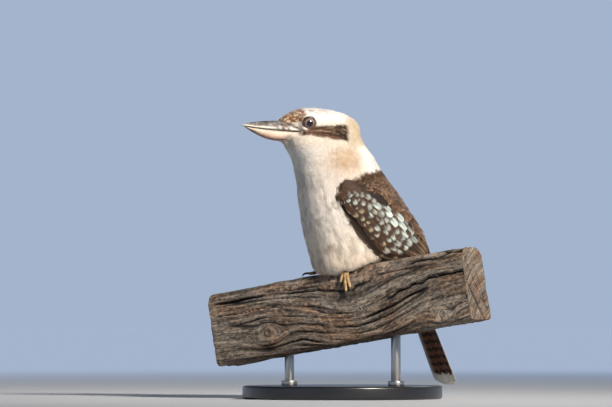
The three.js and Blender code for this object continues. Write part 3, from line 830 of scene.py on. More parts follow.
def feathers(name, paths, outs, shape, widths, rise, colours, patches, slot, material, cup, tilt=0.0):
    """One mesh of many feathers, each the same shape laid along its own path over a surface.

    rise gives the height over the surface at the root and at the tip, cup bends both edges down,
    tilt lifts one edge, and patches gives each feather's corner and size on the map."""
    points, faces = shape
    along, across, lift = points.T
    spine = along_paths(paths, along)
    out = unit(along_paths(outs, along))
    ahead = unit(along_paths(np.gradient(paths, axis=1), along))
    side = unit(np.cross(ahead, out))
    height = rise[:, :1] + (rise[:, 1:] - rise[:, :1]) * along[None, :] ** 0.8
    height = height + (lift + tilt * across - cup * across ** 2)[None, :] * widths[:, None]
    place = spine + side * (across[None, :] * widths[:, None] / 2)[..., None] + out * height[..., None]
    mesh = bpy.data.meshes.new(name)
    mesh.from_pydata((place.reshape(-1, 3) * MM).tolist(), [], [
        [start + corner for corner in face]
        for start in range(0, len(paths) * len(points), len(points)) for face in faces])
    loops = np.empty(len(mesh.loops), np.int32)
    mesh.loops.foreach_get("vertex_index", loops)
    corner, extent = patches
    uv = corner[:, None, :] + np.column_stack([0.5 + across / 2.4, along])[None] * extent[:, None, :]
    layer = mesh.uv_layers.new(name="OFBake")
    layer.data.foreach_set("uv", uv.reshape(-1, 2)[loops].astype(np.float32).ravel())
    piece = bpy.data.objects.new(name, mesh)
    bpy.context.scene.collection.objects.link(piece)
    keep_colours(piece, colours.reshape(-1, 3))
    mesh.shade_smooth()
    mesh.normals_split_custom_set_from_vertices(
        unit(out * 0.5 + corner_normals(piece).reshape(out.shape) * 0.5).reshape(-1, 3))
    settle(piece, name, material, slot)
    return piece


def coat(name, grows, lengths, widths, shape, lift, slot, steps=4, swing=0.16, clump=9.0, fringe=None):
    """Grows one piece of the coat from those roots where it grows. Neighbours lean together in clumps."""
    zone = np.flatnonzero(grows)
    zone = zone[thinned(roots[zone], room[zone])]
    count = len(zone)
    lengths, widths, lift = [
        np.broadcast_to(measure, len(roots))[zone] for measure in (lengths, widths, lift)]
    lengths = lengths * rng.uniform(0.85, 1.15, count)
    widths = widths * rng.uniform(0.85, 1.15, count)
    together = noise(roots[zone] * (1, 1, 0.6), clump, 31) - 0.5
    raised = noise(roots[zone] * (1, 1, 0.5), clump * 0.6, 32)
    swings = rng.normal(0, swing, count) + LEAN * together
    paths, outs, face = walked(skin_tree, roots[zone], lengths, steps, swings)
    shown = (paths[:, -2] + paths[:, -1]) / 2
    along, across, part = shape[0].T
    # Each feather is painted darker towards its root, as the shade deep in the coat, and its locks a little
    # lighter or darker.
    tone = (ROOT_SHADE + (1 - ROOT_SHADE) * along ** 0.7) * (1 + LOCK_TONE * part)
    colours = plumage(shown, on_wing(shown))[:, None, :] * tone[None, :, None]
    colours *= rng.uniform(0.88, 1.08, (count, 1, 1))
    if fringe:
        edge = np.maximum(ease(np.abs(across), 0.4, 0.85) * ease(along, 0.4, 0.8), ease(along, 0.7, 0.95))
        centre = (1 - ease(np.abs(across), 0.1, 0.6)) * (1 - ease(along, 0.75, 0.95))
        worn = 0.8 * rng.uniform(0.15, 1.0, (count, 1))
        colours = dyed(colours * (1 - 0.45 * centre[None, :, None]), (fringe, edge * worn))
    rise = np.column_stack([
        np.full(count, -ROOT_DEPTH), lift * rng.uniform(0.75, 1.25, count) * (0.55 + 0.9 * raised)])
    patches = (face_map[face] - TUFT_PATCH / 2, np.full((count, 2), TUFT_PATCH))
    feathers(name, paths, outs, shape, widths, rise, np.clip(colours, 0, 1), patches, slot, down, 0.06)


roots = scattered(skin, CANDIDATES)
bird = bird_places(roots)
head = head_places(bird)
up = bird[:, 2]
behind = lie(bird)[1]
winged = on_wing(roots)
below_brown = -height_over(BROWN_TOP, bird)
eye_away = np.hypot(head[:, 0] - EYE_AHEAD, up - EYE_UP)
on_head = up > 126 + 0.2 * (20 - bird[:, 0])
bare = on_head & ((eye_away < LID_RADIUS) | (bill_notch(head) > -0.5))
back = (below_brown > 0) & (winged | (behind > 3))
front = ~back & ~winged & ~on_head & ~bare
shoulder = winged & (height_over(WING_GROOVE, bird) > 0)
# The wing's arm turns in towards the rump, where the rump's feathers cover it.
inside = np.zeros(len(roots), bool)
flank = np.flatnonzero(winged & (up < 44))
inside[flank] = nearest(skin_tree, roots[flank])[1][:, 0] * np.sign(bird[flank, 1]) < -0.75
face_near = np.minimum(eye_away - LID_RADIUS, -bill_notch(head) * 0.7)
face_growth = ease(face_near, 0, 24)
# Feathers of the back grow larger away from the collar.
down_back = 0.4 * ease(below_brown, 0, 16) + 0.6 * ease(-up, -92, -50)
mantle = back & ((shoulder & (up > 44)) | ~winged) & (up > MANTLE_END)
room = np.select([on_head & ~bare, front & (up > NECK_END), front, mantle],
                 [0.62 + 0.5 * ease(face_near, 1, 22), 1.15, 1.45, 1.9 + 3.2 * down_back], 3)

coat("head_feathers", on_head & ~bare, 2.3 + 4.6 * face_growth, 1.3 + 1.9 * face_growth, fan(4, 2, 0.8),
     0.5 + 0.9 * face_growth, "pale_plumage", steps=3, swing=0.12)
coat("neck_feathers", front & (up > NECK_END), 9.5, 4.6, fan(6, 2, 0.8), 1.9, "pale_plumage")
coat("breast_feathers", front & (up <= NECK_END) & (up > BREAST_END), 14.0, 6.5, fan(7, 3, 0.8), 2.6,
     "body_plumage")
coat("belly_feathers", front & (up <= BREAST_END), 14.0, 6.5, fan(7, 3, 0.8), 2.6, "body_plumage")
# Shoulder and back feathers are broader and rounder, brown with worn, paler fringes.
coat("mantle_feathers", mantle, 6.0 + 11.5 * down_back, 4.6 + 6.0 * down_back, vane(6, 6, 0.4),
     1.3 + 1.1 * down_back + 1.0 * (shoulder & (up < 56)), "body_plumage", swing=0.14, clump=14.0,
     fringe="#937660")
# Long loose rufous feathers, barred with black, run from the rump over the root of the tail.
rump = (~winged & (up <= MANTLE_END) & (up > RUMP_END)) | (inside & (up > -26))
coat("rump_feathers", back & rump, 18.0 - 8.0 * inside, 8.0, fan(7, 4, 0.9), 1.6 - 1.0 * inside,
     "body_plumage", swing=0.1)

# ---------------------------------------------------------------- wings
# Each folded wing shows rows of small coverts over the arm, then the long secondaries and primaries
# that lie over one another to the tip. They are firm vanes of dark brown keratin, the coverts tipped
# with pale sky blue.

# The wing's long axis, as forward and up from the feet, and how far along it the wing reaches.
WING_BASE = np.array([13.5, 88.0])
WING_TIP = np.array([-91.0, -58.0])
WING_REACH = 192.0
# A grid is laid over each wing: its stations, the spokes tried at each and how long they are, and the
# places across. It keeps a little inside the wing's edges and under its surface.
STATIONS = 64
SPOKES = 90
SPOKE_LENGTH = 120
ACROSS = 32
EDGE_TURN = math.radians(1.5)
WING_DEPTH = 1.1
VANE_THICK = 0.25 * MM
# How far down the wing the tips of each row of coverts lie, and how wide a large covert is.
COVERT_ROWS = [2, 5, 9, 14, 20, 27.5, 35, 43, 51.5, 60.5, 70, 80, 90.5, 101]
COVERT_WIDTH = 7.6
# Past the bend of the wing, this part of its width along the lower edge has no coverts.
LOWER_BAND = 0.09
# Four sets of firm quills: those of the lower edge, the primaries, the secondaries and the tertials.
# Each says how many there are, where the first and the last of them start and end, as parts of the
# way down and up across the wing, how wide they are, and how far out they lie.
QUILLS = [
    (7, (0.1, 0.01, 0.46, 0.02), (0.28, 0.14, 0.82, 0.18), 6.5, -1),
    (12, (0.40, 0.10, 1.02, 0.10), (0.40, 0.50, 0.93, 0.92), 11.5, 0),
    (10, (0.40, 0.30, 0.885, 0.40), (0.40, 0.92, 0.815, 0.95), 13.0, 1),
    (4, (0.42, 0.70, 0.80, 0.76), (0.42, 0.94, 0.75, 0.96), 14.5, 2)]


def smoothed(values, passes):
    """Values evened out down and across a grid, its rim left where it is."""
    values = values.copy()
    for _ in range(passes):
        values[1:-1] = (values[:-2] + 2 * values[1:-1] + values[2:]) / 4
        values[:, 1:-1] = (values[:, :-2] + 2 * values[:, 1:-1] + values[:, 2:]) / 4
    return values


def wing_grid(side):
    """The outer surface of a folded wing as a grid from wrist to tip and from lower to upper edge."""
    sign = 1 if side == "left" else -1
    axis = unit(WING_TIP - WING_BASE)

    def hit(step, turn):
        """Where a spoke from the wing's long axis, turned up from straight below, meets the outside."""
        centre = WING_BASE + axis * (step * WING_REACH - 6)
        way = np.array([sign * math.sin(turn), axis[1] * math.cos(turn), axis[0] * math.cos(turn)])
        outside = FEET + np.array([0, -centre[0], centre[1]]) + way * SPOKE_LENGTH
        return wing_tree[side].ray_cast(Vector(outside), Vector(-way), SPOKE_LENGTH - 1)[:2]

    steps, limits = [], []
    for step in np.linspace(0, 1, STATIONS):
        turns = [turn for turn in np.radians(np.linspace(20, 178, SPOKES)) if hit(step, turn)[0] is not None]
        if len(turns) >= 6:
            steps.append(step)
            limits.append((turns[0] + EDGE_TURN, turns[-1] - EDGE_TURN))
    limits = np.array(limits)
    for _ in range(6):
        even = (limits[:-2] + limits[1:-1] + limits[2:]) / 3
        limits[1:-1, 0] = np.maximum(even[:, 0], limits[1:-1, 0])
        limits[1:-1, 1] = np.minimum(even[:, 1], limits[1:-1, 1])
    grid = []
    for step, (first, last) in zip(steps, limits):
        hits = [hit(step, turn) for turn in np.linspace(first, last, ACROSS)]
        known = [index for index, (place, _) in enumerate(hits) if place is not None]
        closest = [min(known, key=lambda other: abs(other - index)) for index in range(ACROSS)]
        grid.append([hits[index][0] - hits[index][1] * WING_DEPTH for index in closest])
    grid = smoothed(np.array(grid), 10)
    outs = np.cross(np.gradient(grid, axis=0), np.gradient(grid, axis=1))
    outs *= np.sign(np.sum(outs * (grid - FEET), axis=2, keepdims=True).mean())
    return grid, unit(smoothed(outs, 3))


def on_grid(grid, spots):
    """Values of a grid at spots that are parts of the way along and across it."""
    a = np.clip(spots[..., 0], 0, 1) * (grid.shape[0] - 1)
    b = np.clip(spots[..., 1], 0, 1) * (grid.shape[1] - 1)
    i = np.minimum(a.astype(int), grid.shape[0] - 2)
    j = np.minimum(b.astype(int), grid.shape[1] - 2)
    a, b = (a - i)[..., None], (b - j)[..., None]
    return ((grid[i, j] * (1 - a) + grid[i + 1, j] * a) * (1 - b)
            + (grid[i, j + 1] * (1 - a) + grid[i + 1, j + 1] * a) * b)


# Firm vanes: smooth keratin, nearly matt, with barbs 0.5 mm apart that slope forward from the shaft.
vanes = finish("firm_vanes", Roughness=0.62, Specular_IOR_Level=0.18, Sheen_Weight=0.03, Sheen_Roughness=0.4)
vane_at = add(vanes, "Attribute", output="Vector", attribute_name="Vane")
across, along, feather = add(vanes, "SeparateXYZ", {"Vector": vane_at}).node.outputs
off_shaft = add(vanes, "Math", {0: across}, operation="ABSOLUTE")
slant = add(vanes, "Math", {0: along, 1: off_shaft}, operation="SUBTRACT")
barb_at = add(vanes, "CombineXYZ", {"X": slant, "Y": feather})
barbs = add(vanes, "TexNoise", {"Vector": barb_at, "Scale": 2.0, "Detail": 3.0})
grained(vanes, add(vanes, "Attribute", attribute_name="Plumage"), barbs, (0.3, 0.7), (0.8, 1.12), 0.4, 0.15)


def firm_feathers(name, paths, outs, shape, widths, lengths, rise, colours, slot, cup, tilt=0.0):
    """Firm vanes with a real thickness, and their own measure along and across for the barbs. Each has
    a square cell of the map."""
    count = len(paths)
    order = np.arange(count)
    row = math.ceil(math.sqrt(count))
    cells = (np.column_stack([order % row, order // row]) / row + 0.05 / row, np.full((count, 2), 0.9 / row))
    piece = feathers(name, paths, outs, shape, widths, rise, np.clip(colours, 0, 1), cells, slot, vanes,
                     cup, tilt)
    along, across, _ = shape[0].T
    keep_values(piece, "Vane", np.stack(np.broadcast_arrays(
        across * widths[:, None] / 2, along * lengths[:, None], order[:, None] * 7.3), axis=2).reshape(-1, 3))
    bpy.ops.object.select_all(action="DESELECT")
    shape_with(piece, "SOLIDIFY", thickness=VANE_THICK, offset=-1)


def covert_colours(bird_tips, along, across):
    """Brown coverts, with a pale blue or buff spot at the tip of most of them."""
    count = len(bird_tips)
    off_shaft = np.abs(across)
    from_edge = height_over(WING_EDGE, bird_tips)
    share = from_edge / np.maximum(from_edge - height_over(WING_GROOVE, bird_tips), 1)
    down_wing = np.clip((92 - bird_tips[:, 2]) / 80, 0, 1)
    front = -beside(WING_EDGE, bird_tips)
    colours = dyed(plain("#412e22", count, len(along)), ("#2e231d", 1 - ease(share, 0.1, 0.3)[:, None]))
    colours *= rng.uniform(0.75, 1.15, (count, 1, 1))
    fringe = ease(off_shaft, 0.72, 1) * ease(along, 0.3, 0.7) * (0.1 + 0.6 * rng.random((count, 1)))
    # Beside the groove the pale blue vanes show nearly whole.
    patch = ease(share, 0.7, 0.82) * (1 - ease(share, 1.0, 1.06)) * within(bird_tips[:, 2], 30, 64, 5)
    patch *= rng.uniform(0.7, 1.0, count)
    # Along the groove under the shoulder feathers the coverts are painted near black: dark feathers with
    # painted shade.
    groove_dark_and_shade = ease(share, 0.9, 0.98) * ease(down_wing, 0.02, 0.1) * (1 - 0.95 * patch)
    pale = share + 0.3 * down_wing + rng.normal(0, 0.1, count)
    # The small coverts at the bend of the wing are plain, or finely streaked along its front.
    spotted = ease(share, 0.1, 0.2) * ease(down_wing, 0.14, 0.24) * (1 - ease(front, -9, -6))
    spotted *= rng.uniform(0.6, 1.0, count) * (1 - ease(groove_dark_and_shade, 0.1, 0.7))
    spot_colour = dyed(plain("#a8987a", count), ("#bac3bb", ease(pale, 0.45, 0.7)))
    spot_colour *= rng.uniform(0.8, 1.12, (count, 1))
    size = 0.8 + 0.4 * ease(pale, 0.45, 1.0) + rng.normal(0, 0.16, count)
    wide = 0.7 + 0.2 * (1 - ease(pale, 0.4, 0.6))
    centre = 0.84 + rng.normal(0, 0.025, (count, 1)) - 0.06 * off_shaft
    away = np.hypot((along - centre) / (0.14 * size[:, None]),
                    (across - rng.normal(0, 0.2, (count, 1))) / (wide * size)[:, None])
    away *= rng.uniform(0.72, 1.45, away.shape)
    shaft = (1 - ease(off_shaft, 0.04, 0.12)) * ease(1 - along, 0, 0.3)
    streak = ease(front, -8, -4) * ease(down_wing, 0.12, 0.2) * (1 - ease(down_wing, 0.4, 0.55))
    streak = (streak * rng.uniform(0.2, 0.9, count))[:, None]
    side_streak = within(off_shaft, 0.45, 0.9, 0.15) * ease(along, 0.55, 0.75)
    vivid = plain("#bccbc6", count) * rng.uniform(0.8, 1.1, (count, 1))
    body = ease(along, 0.42, 0.6) * (1 - 0.6 * shaft) * (1 - 0.9 * ease(off_shaft, 0.55, 0.85))
    return dyed(
        colours,
        ("#94765a", fringe),
        ("#2b1f19", (1 - ease(away, 1.2, 2.2)) * spotted[:, None] * 0.6),
        (spot_colour[:, None], (1 - ease(away, 0.2, 1.35)) * spotted[:, None] * (1 - 0.35 * shaft)),
        ("#b3a99b", side_streak * streak),
        (vivid[:, None], patch[:, None] * body),
        # Dark feathers and painted shade along the groove.
        ("#1c1512", (groove_dark_and_shade * 0.92)[:, None]))


def laid(grid, outs, starts, ends, steps):
    """Paths over the wing from starts to ends, with their ways out and their lengths."""
    spots = starts[:, None] + (ends - starts)[:, None] * np.linspace(0, 1, steps)[None, :, None]
    paths = on_grid(grid, spots)
    return paths, unit(on_grid(outs, spots)), np.linalg.norm(paths[:, -1] - paths[:, 0], axis=1)


covert_shape = vane(10, 8, 0.66)
quill_shape = vane(26, 6, 0.88)
quills = np.vstack([
    np.column_stack([np.linspace(first, last, many), np.full((many, 2), (width, layer))])
    for many, first, last, width, layer in QUILLS])
for side in ("left", "right"):
    grid, outs = wing_grid(side)
    wing_length = np.linalg.norm(np.diff(grid[:, ACROSS // 2], axis=0), axis=1).sum()
    spans = np.linalg.norm(np.diff(grid, axis=1), axis=2).sum(axis=1)
    starts, ends = [], []
    # The coverts grow longer and wider down the wing, and every second row is shifted by half of one.
    for number, reach in enumerate(COVERT_ROWS):
        tip = (reach + 6) / wing_length
        span = np.interp(tip, np.linspace(0, 1, len(spans)), spans)
        many = max(int(span / (COVERT_WIDTH * (0.72 + 0.28 * ease(reach, 12, 30)))), 2)
        for k in range(many + 1):
            across = (k + 0.5 * (number % 2)) / many
            if across <= 1:
                starts.append((tip - (11 + 10 * ease(reach, 12, 40)) / wing_length, across))
                ends.append((tip, across))
    starts = np.array(starts) + rng.normal(0, 0.004, (len(starts), 2))
    ends = np.array(ends) + np.column_stack([
        rng.normal(0, 0.009, len(ends)), rng.normal(0, 0.018, len(ends))])
    order = np.argsort(-ends[:, 0])
    starts, ends = starts[order], ends[order]
    tips = bird_places(on_grid(grid, ends))
    middles = bird_places(on_grid(grid, (starts + ends) / 2))
    keep = (height_over(WING_GROOVE, tips) < 3) & (beside(WING_EDGE, middles) > 1.5)
    keep &= (ends[:, 1] > LOWER_BAND) | (ends[:, 0] < 0.16)
    starts, ends, tips = starts[keep], ends[keep], tips[keep]
    paths, ways, lengths = laid(grid, outs, starts, ends, 5)
    count = len(paths)
    widths = rng.uniform(0.9, 1.08, count) * COVERT_WIDTH * (0.85 + 0.43 * ease(lengths, 11, 20))
    low = 1 - ease(ends[:, 1], 0.08, 0.4)
    rise = np.column_stack([np.full(count, 0.15), rng.uniform(1.3, 1.8, count) - 0.8 * low])
    along, across, _ = covert_shape[0].T
    firm_feathers(f"wing_{side}_coverts", paths, ways, covert_shape, widths, lengths, rise,
                  covert_colours(tips, along, across), "wing_plumage", 0.09)

    # The flight feathers come out from under the coverts and run on to the tip of the wing. The inner
    # ones lie over the outer ones.
    paths, ways, lengths = laid(grid, outs, quills[:, 0:2], quills[:, 2:4], 12)
    count = len(quills)
    order = np.arange(count) / count
    rise = np.column_stack([-1.6 + 0.3 * order, 0.4 + 1.5 * order])
    lower = 1 if side == "left" else -1
    along, across, _ = quill_shape[0].T
    tone = 0.75 + 0.25 * quills[:, 5] + rng.uniform(-0.12, 0.12, count)
    colours = plain("#3d2e24", count, len(along)) * tone[:, None, None]
    # The half of each quill that the next one covers is painted darker as the shade under it, and the open
    # half a little lighter.
    colours *= (1.12 - 0.5 * ease(-across * lower, -0.5, 0.6))[:, None]
    thin = 0.72 - 0.12 * (quills[:, 5:6] < 0)
    edge = ease(across * lower, thin, thin + 0.23) * rng.uniform(0.3, 0.9, (count, 1))
    colours = dyed(colours, ("#a08a72", np.maximum(edge, ease(along, 0.94, 1.0) * 0.6)))
    colours *= 1 - 0.5 * (1 - ease(np.abs(across), 0.03, 0.1))[:, None]
    firm_feathers(f"wing_{side}_quills", paths, ways, quill_shape, quills[:, 4] * 1.25, lengths, rise,
                  colours, "wing_plumage", 0.03, 0.05 * lower)

# ---------------------------------------------------------------- tail
# Twelve long, firm rectrices, closed over one another with the middle pair on top: rufous, barred with
# black, and tipped with white. Softer coverts hide their roots above and below.

TAIL_ROOT = np.array([-78.0, 8.0])
TAIL_TIP = np.array([-133.5, -121.0])
# Half the width of the closed tail at its root and at its tip.
TAIL_HALVES = (11.0, 16.5)
RECTRICES = 12
RECTRIX_WIDTH = 14.5
BAR_SPACING = 8.5
WHITE_TIP = 12

tail_length = np.linalg.norm(TAIL_TIP - TAIL_ROOT)
axis = (TAIL_TIP - TAIL_ROOT) / tail_length
rectrix_shape = vane(104, 6, 0.93, 0.5)
along, across, _ = rectrix_shape[0].T
# From the outermost pair, at the bottom, to the middle pair: -1 and 1 are the outermost.
ranks = np.array(sorted(np.linspace(-1, 1, RECTRICES), key=lambda rank: -abs(round(rank, 6))))[:, None]
share = np.linspace(0, 1, 6)
flat = TAIL_ROOT + axis * (share * tail_length * (1 - 0.035 * ranks ** 2))[..., None]
lefts = ranks * np.interp(share, (0, 1), TAIL_HALVES)
paths = np.stack([lefts, -flat[..., 0], flat[..., 1]], axis=2) + FEET
ways = np.stack(np.broadcast_arrays(ranks * 0.25, -axis[1], np.full(len(share), -axis[0])), axis=2)
rises = np.column_stack([2.2 - 3.2 * abs(ranks), 1.1 - 2.0 * abs(ranks)])
reach = along * tail_length + 1.5 * np.abs(across) + rng.uniform(0, 1.5, (RECTRICES, 1))
bars = ease(np.cos(2 * math.pi * reach / BAR_SPACING), 0.05, 0.5)
outer = ease(np.abs(ranks), 0.7, 1.0) * ease(across * np.sign(ranks), 0.2, 0.8)
white = ease(along * tail_length, tail_length - WHITE_TIP, tail_length - WHITE_TIP + 1.5)
colours = dyed(plain("#8f5c3c", RECTRICES, len(along)), ("#6e4630", ease(along, 0.1, 0.9) * 0.4),
               ("#1d1613", bars * 0.92), ("#efe6d8", np.maximum(white, outer * 0.8)))
firm_feathers("tail_rectrices", paths, unit(ways), rectrix_shape, np.full(RECTRICES, RECTRIX_WIDTH),
              np.full(RECTRICES, tail_length), rises, colours, "tail_plumage", 0.04)
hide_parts("tail")

# ---------------------------------------------------------------- bill
# A heavy, straight bill: a bony core under a horn sheath. The upper mandible is dark and scuffed with a
# pale cutting edge and tip, the lower one is pale pinkish horn. Each is a closed loft of half ovals.

# Stations along the bill: ahead on the head, the cutting edge, the ridge and the half width.
UPPER_BILL = [(37, 144.3, 151.6, 17.2), (42, 144.7, 153.7, 16.7), (48, 145.1, 155.1, 15.7),
              (55, 145.6, 156.0, 14.1), (62, 146.1, 156.5, 12.4), (73, 147.0, 156.3, 9.9),
              (85, 148.4, 155.5, 7.3), (94, 149.8, 153.9, 4.7), (99.5, 150.6, 152.6, 2.5),
              (102.2, 150.9, 151.5, 0.8)]
LOWER_BILL = [(37, 143.9, 137.4, 16.3), (42, 144.3, 136.2, 15.7), (48, 144.7, 135.5, 14.6),
              (55, 145.2, 135.1, 13.1), (62, 145.7, 135.2, 11.6), (73, 146.6, 136.9, 9.4),
              (84, 147.9, 141.0, 6.9), (92, 149.1, 145.3, 4.3), (96.5, 149.8, 148.0, 2.3),
              (98.8, 150.1, 149.7, 0.7)]
BILL_ROWS = 96
BILL_AROUND = 32
NOSTRIL_AHEAD, NOSTRIL_UP = 60.5, 152.6
NOSTRIL_LONG, NOSTRIL_HIGH, NOSTRIL_DEEP = 3.0, 0.75, 1.1


def from_head(head):
    """Model places, in millimetres, of places on the head."""
    forward = head[:, 0] * math.cos(HEAD_TURN) + head[:, 1] * math.sin(HEAD_TURN) + HEAD_PIVOT
    left = head[:, 1] * math.cos(HEAD_TURN) - head[:, 0] * math.sin(HEAD_TURN)
    return np.column_stack([left, -forward, head[:, 2]]) + FEET


def through(stations, at):
    """Each measure of the stations at some places along, on a smooth curve through them."""
    stations = np.array(stations, float)
    i = np.clip(np.searchsorted(stations[:, 0], at) - 1, 0, len(stations) - 2)
    before, here = stations[np.maximum(i - 1, 0)], stations[i]
    ahead, after = stations[i + 1], stations[np.minimum(i + 2, len(stations) - 1)]
    gap = (ahead - here)[:, :1]
    rise_here = (ahead - before)[:, 1:] / (ahead - before)[:, :1] * gap
    rise_ahead = (after - here)[:, 1:] / (after - here)[:, :1] * gap
    t = (at - here[:, 0])[:, None] / gap
    return ((2 * t ** 3 - 3 * t ** 2 + 1) * here[:, 1:] + (t ** 3 - 2 * t ** 2 + t) * rise_here
            + (3 * t ** 2 - 2 * t ** 3) * ahead[:, 1:] + (t ** 3 - t ** 2) * rise_ahead)


def mandible(stations):
    """A closed mandible, lofted from a grid whose columns run round its section. Also the places of
    its corners, and those on the head."""
    bpy.ops.object.select_all(action="DESELECT")
    bpy.ops.mesh.primitive_grid_add(x_subdivisions=BILL_AROUND, y_subdivisions=BILL_ROWS, size=2)
    piece = bpy.context.active_object
    grid = corners(piece) * MM
    turn = (grid[:, 0] + 1) * math.pi
    share = (grid[:, 1] + 1) / 2
    ahead = stations[0][0] + (stations[-1][0] - stations[0][0]) * (1 - (1 - share) ** 1.5)
    edge, ridge, half = through(stations, ahead).T
    full = 0.62 + 0.3 * ease(ahead, 50, 100)
    side = np.sign(np.cos(turn)) * np.abs(np.cos(turn)) ** full
    bulge = np.where(turn < math.pi, np.abs(np.sin(turn)) ** 0.95, 0.05 * np.sin(turn))
    move_corners(piece, from_head(np.column_stack([ahead, half * side, edge + (ridge - edge) * bulge])))
    with edit_mode():
        bpy.ops.mesh.remove_doubles(threshold=0.001 * MM)
        bpy.ops.mesh.select_all(action="DESELECT")
        bpy.ops.mesh.select_non_manifold()
        bpy.ops.mesh.edge_face_add()
        bpy.ops.mesh.select_all(action="SELECT")
        bpy.ops.mesh.normals_make_consistent(inside=False)
    places = corners(piece)
    return piece, places, head_places(bird_places(places))


def sheath(piece, colours, name, roughness, slot, node):
    """Horn sheath: satin keratin with small chips and scuffs."""
    keep_colours(piece, colours)
    bpy.ops.object.shade_smooth()
    horn = finish(name, Roughness=roughness, IOR=1.55, Coat_Weight=0.15, Coat_Roughness=0.25)
    place = add(horn, "TexCoord", output="Object")
    scuffs = add(horn, "TexNoise", {"Vector": place, "Scale": 700.0, "Detail": 4.0})
    grained(horn, add(horn, "Attribute", attribute_name="Plumage"), scuffs, (0.35, 0.65), (0.82, 1.1),
            0.25, 0.2)
    settle(piece, f"{node}_sheath", horn, slot, node)


upper, places, head = mandible(UPPER_BILL)
ahead, left, up = head.T
over_edge = up - through(UPPER_BILL, ahead)[:, 0]
from_nostril = ahead - NOSTRIL_AHEAD
slit = np.hypot(from_nostril / NOSTRIL_LONG, (up - NOSTRIL_UP + 0.12 * from_nostril) / NOSTRIL_HIGH)
hole = (1 - ease(slit, 0.5, 1.2)) * (np.abs(left) > 4)
rough = noise(places, 2.6, 41) - 0.5
worn = 0.25 * rough * ease(over_edge, 1.5, 3) - 0.22 * within(over_edge, 1.6, 2.6, 0.5)
move_corners(upper, places + corner_normals(upper) * (worn - NOSTRIL_DEEP * hole)[:, None])
mottle = noise(head * (0.35, 0.8, 1.7), 1.6, 42) - 0.5
broad = noise(places, 7, 43) - 0.5
line = within(over_edge + 0.5 * rough, 2.4, 3.1, 0.3) * within(ahead, 52, 86, 4)
sheath(upper, dyed(
    plain("#68625e", len(places)),
    ("#2b2624", ease(mottle + 0.4 * broad, 0.02, 0.16) * 0.9),
    ("#c2bab2", ease(-mottle + 0.3 * broad, 0.1, 0.26) * 0.6),
    ("#8c6f58", ease(broad, 0.1, 0.35) * 0.45),
    ("#1f1a18", line * 0.8),
    ("#e3d9cb", (1 - ease(over_edge + 0.8 * rough, 1.9, 2.6)) * ease(over_edge, -1, 0.2)),
    ("#bcb29f", ease(ahead + 5 * rough, 94, 98) * 0.7),
    # The nostril's hollow is painted near black as shade, and the cutting edge and the underside below it
    # dark as the shade between the mandibles.
    ("#14100e", hole),
    ("#2a211c", 1 - ease(over_edge, -0.05, 0.3))), "dark_horn_sheath", 0.42, "dark_horn", "bill_upper")

lower, places, head = mandible(LOWER_BILL)
ahead = head[:, 0]
edge, keel, _ = through(LOWER_BILL, ahead).T
high = np.maximum(edge - keel, 0.5)
under = (edge - head[:, 2]) / high
rough = noise(places, 2.8, 44) - 0.5
broad = noise(places, 8, 45) - 0.5
move_corners(lower, places + corner_normals(lower) * (0.12 * rough)[:, None])
sheath(lower, dyed(
    plain("#f2ddc6", len(places)),
    ("#e3b79d", ease(under + 0.5 * broad, 0.4, 0.75) * 0.8),
    # Towards the keel the horn is reddish brown, darkened further by painted shade of the underside.
    ("#8a4f3a", ease(under + 0.3 * broad, 0.72, 0.95) * ease(ahead, 50, 60) * 0.8),
    ("#94797a", (1 - ease(ahead + 6 * broad, 50, 64)) * ease(under + 0.3 * rough, 0.3, 0.5) * 0.75),
    ("#3a2d28", ease(ahead + 4 * rough, 80, 92) * ease(under, 0.45, 0.8) * 0.8),
    # The edge where the mandibles meet is painted dark as the shade between them.
    ("#2a1d18", 1 - ease(under * high, 0.0, 0.35))), "pale_horn_sheath", 0.4, "pale_horn", "bill_lower")

# ---------------------------------------------------------------- eyes
# Each eye is a glossy ball with a brown iris round a dark pupil, under a clear, wet cornea. It is set
# in the skin of the face in a ring of dark, bare lids.

IRIS_RADIUS = 5.5
PUPIL_RADIUS = 2.9
LID_TUBE = 0.5
# How far forward and up the eye looks for each millimetre that it looks out.
GAZE_AHEAD, GAZE_UP = 0.09, -0.14
# The iris is kept as centimetres from its middle, as a colour ramp runs from 0 to 1.
IRIS_SCALE = 10

# Bare lid skin: near black, finely wrinkled, slightly moist.
lid_skin = finish("bare_lid_skin", Roughness=0.5)
place = add(lid_skin, "TexCoord", output="Object")
wrinkles = add(lid_skin, "TexNoise", {"Vector": place, "Scale": 1500.0, "Detail": 2.0})
colour = add(lid_skin, "ValToRGB", {"Fac": wrinkles}, stops=[(0.3, "#1f1815"), (0.7, "#4a3a33")])
bump = add(lid_skin, "Bump", {"Height": wrinkles, "Strength": 0.4, "Distance": 0.15 * MM})
feed(lid_skin, Base_Color=colour, Normal=bump)

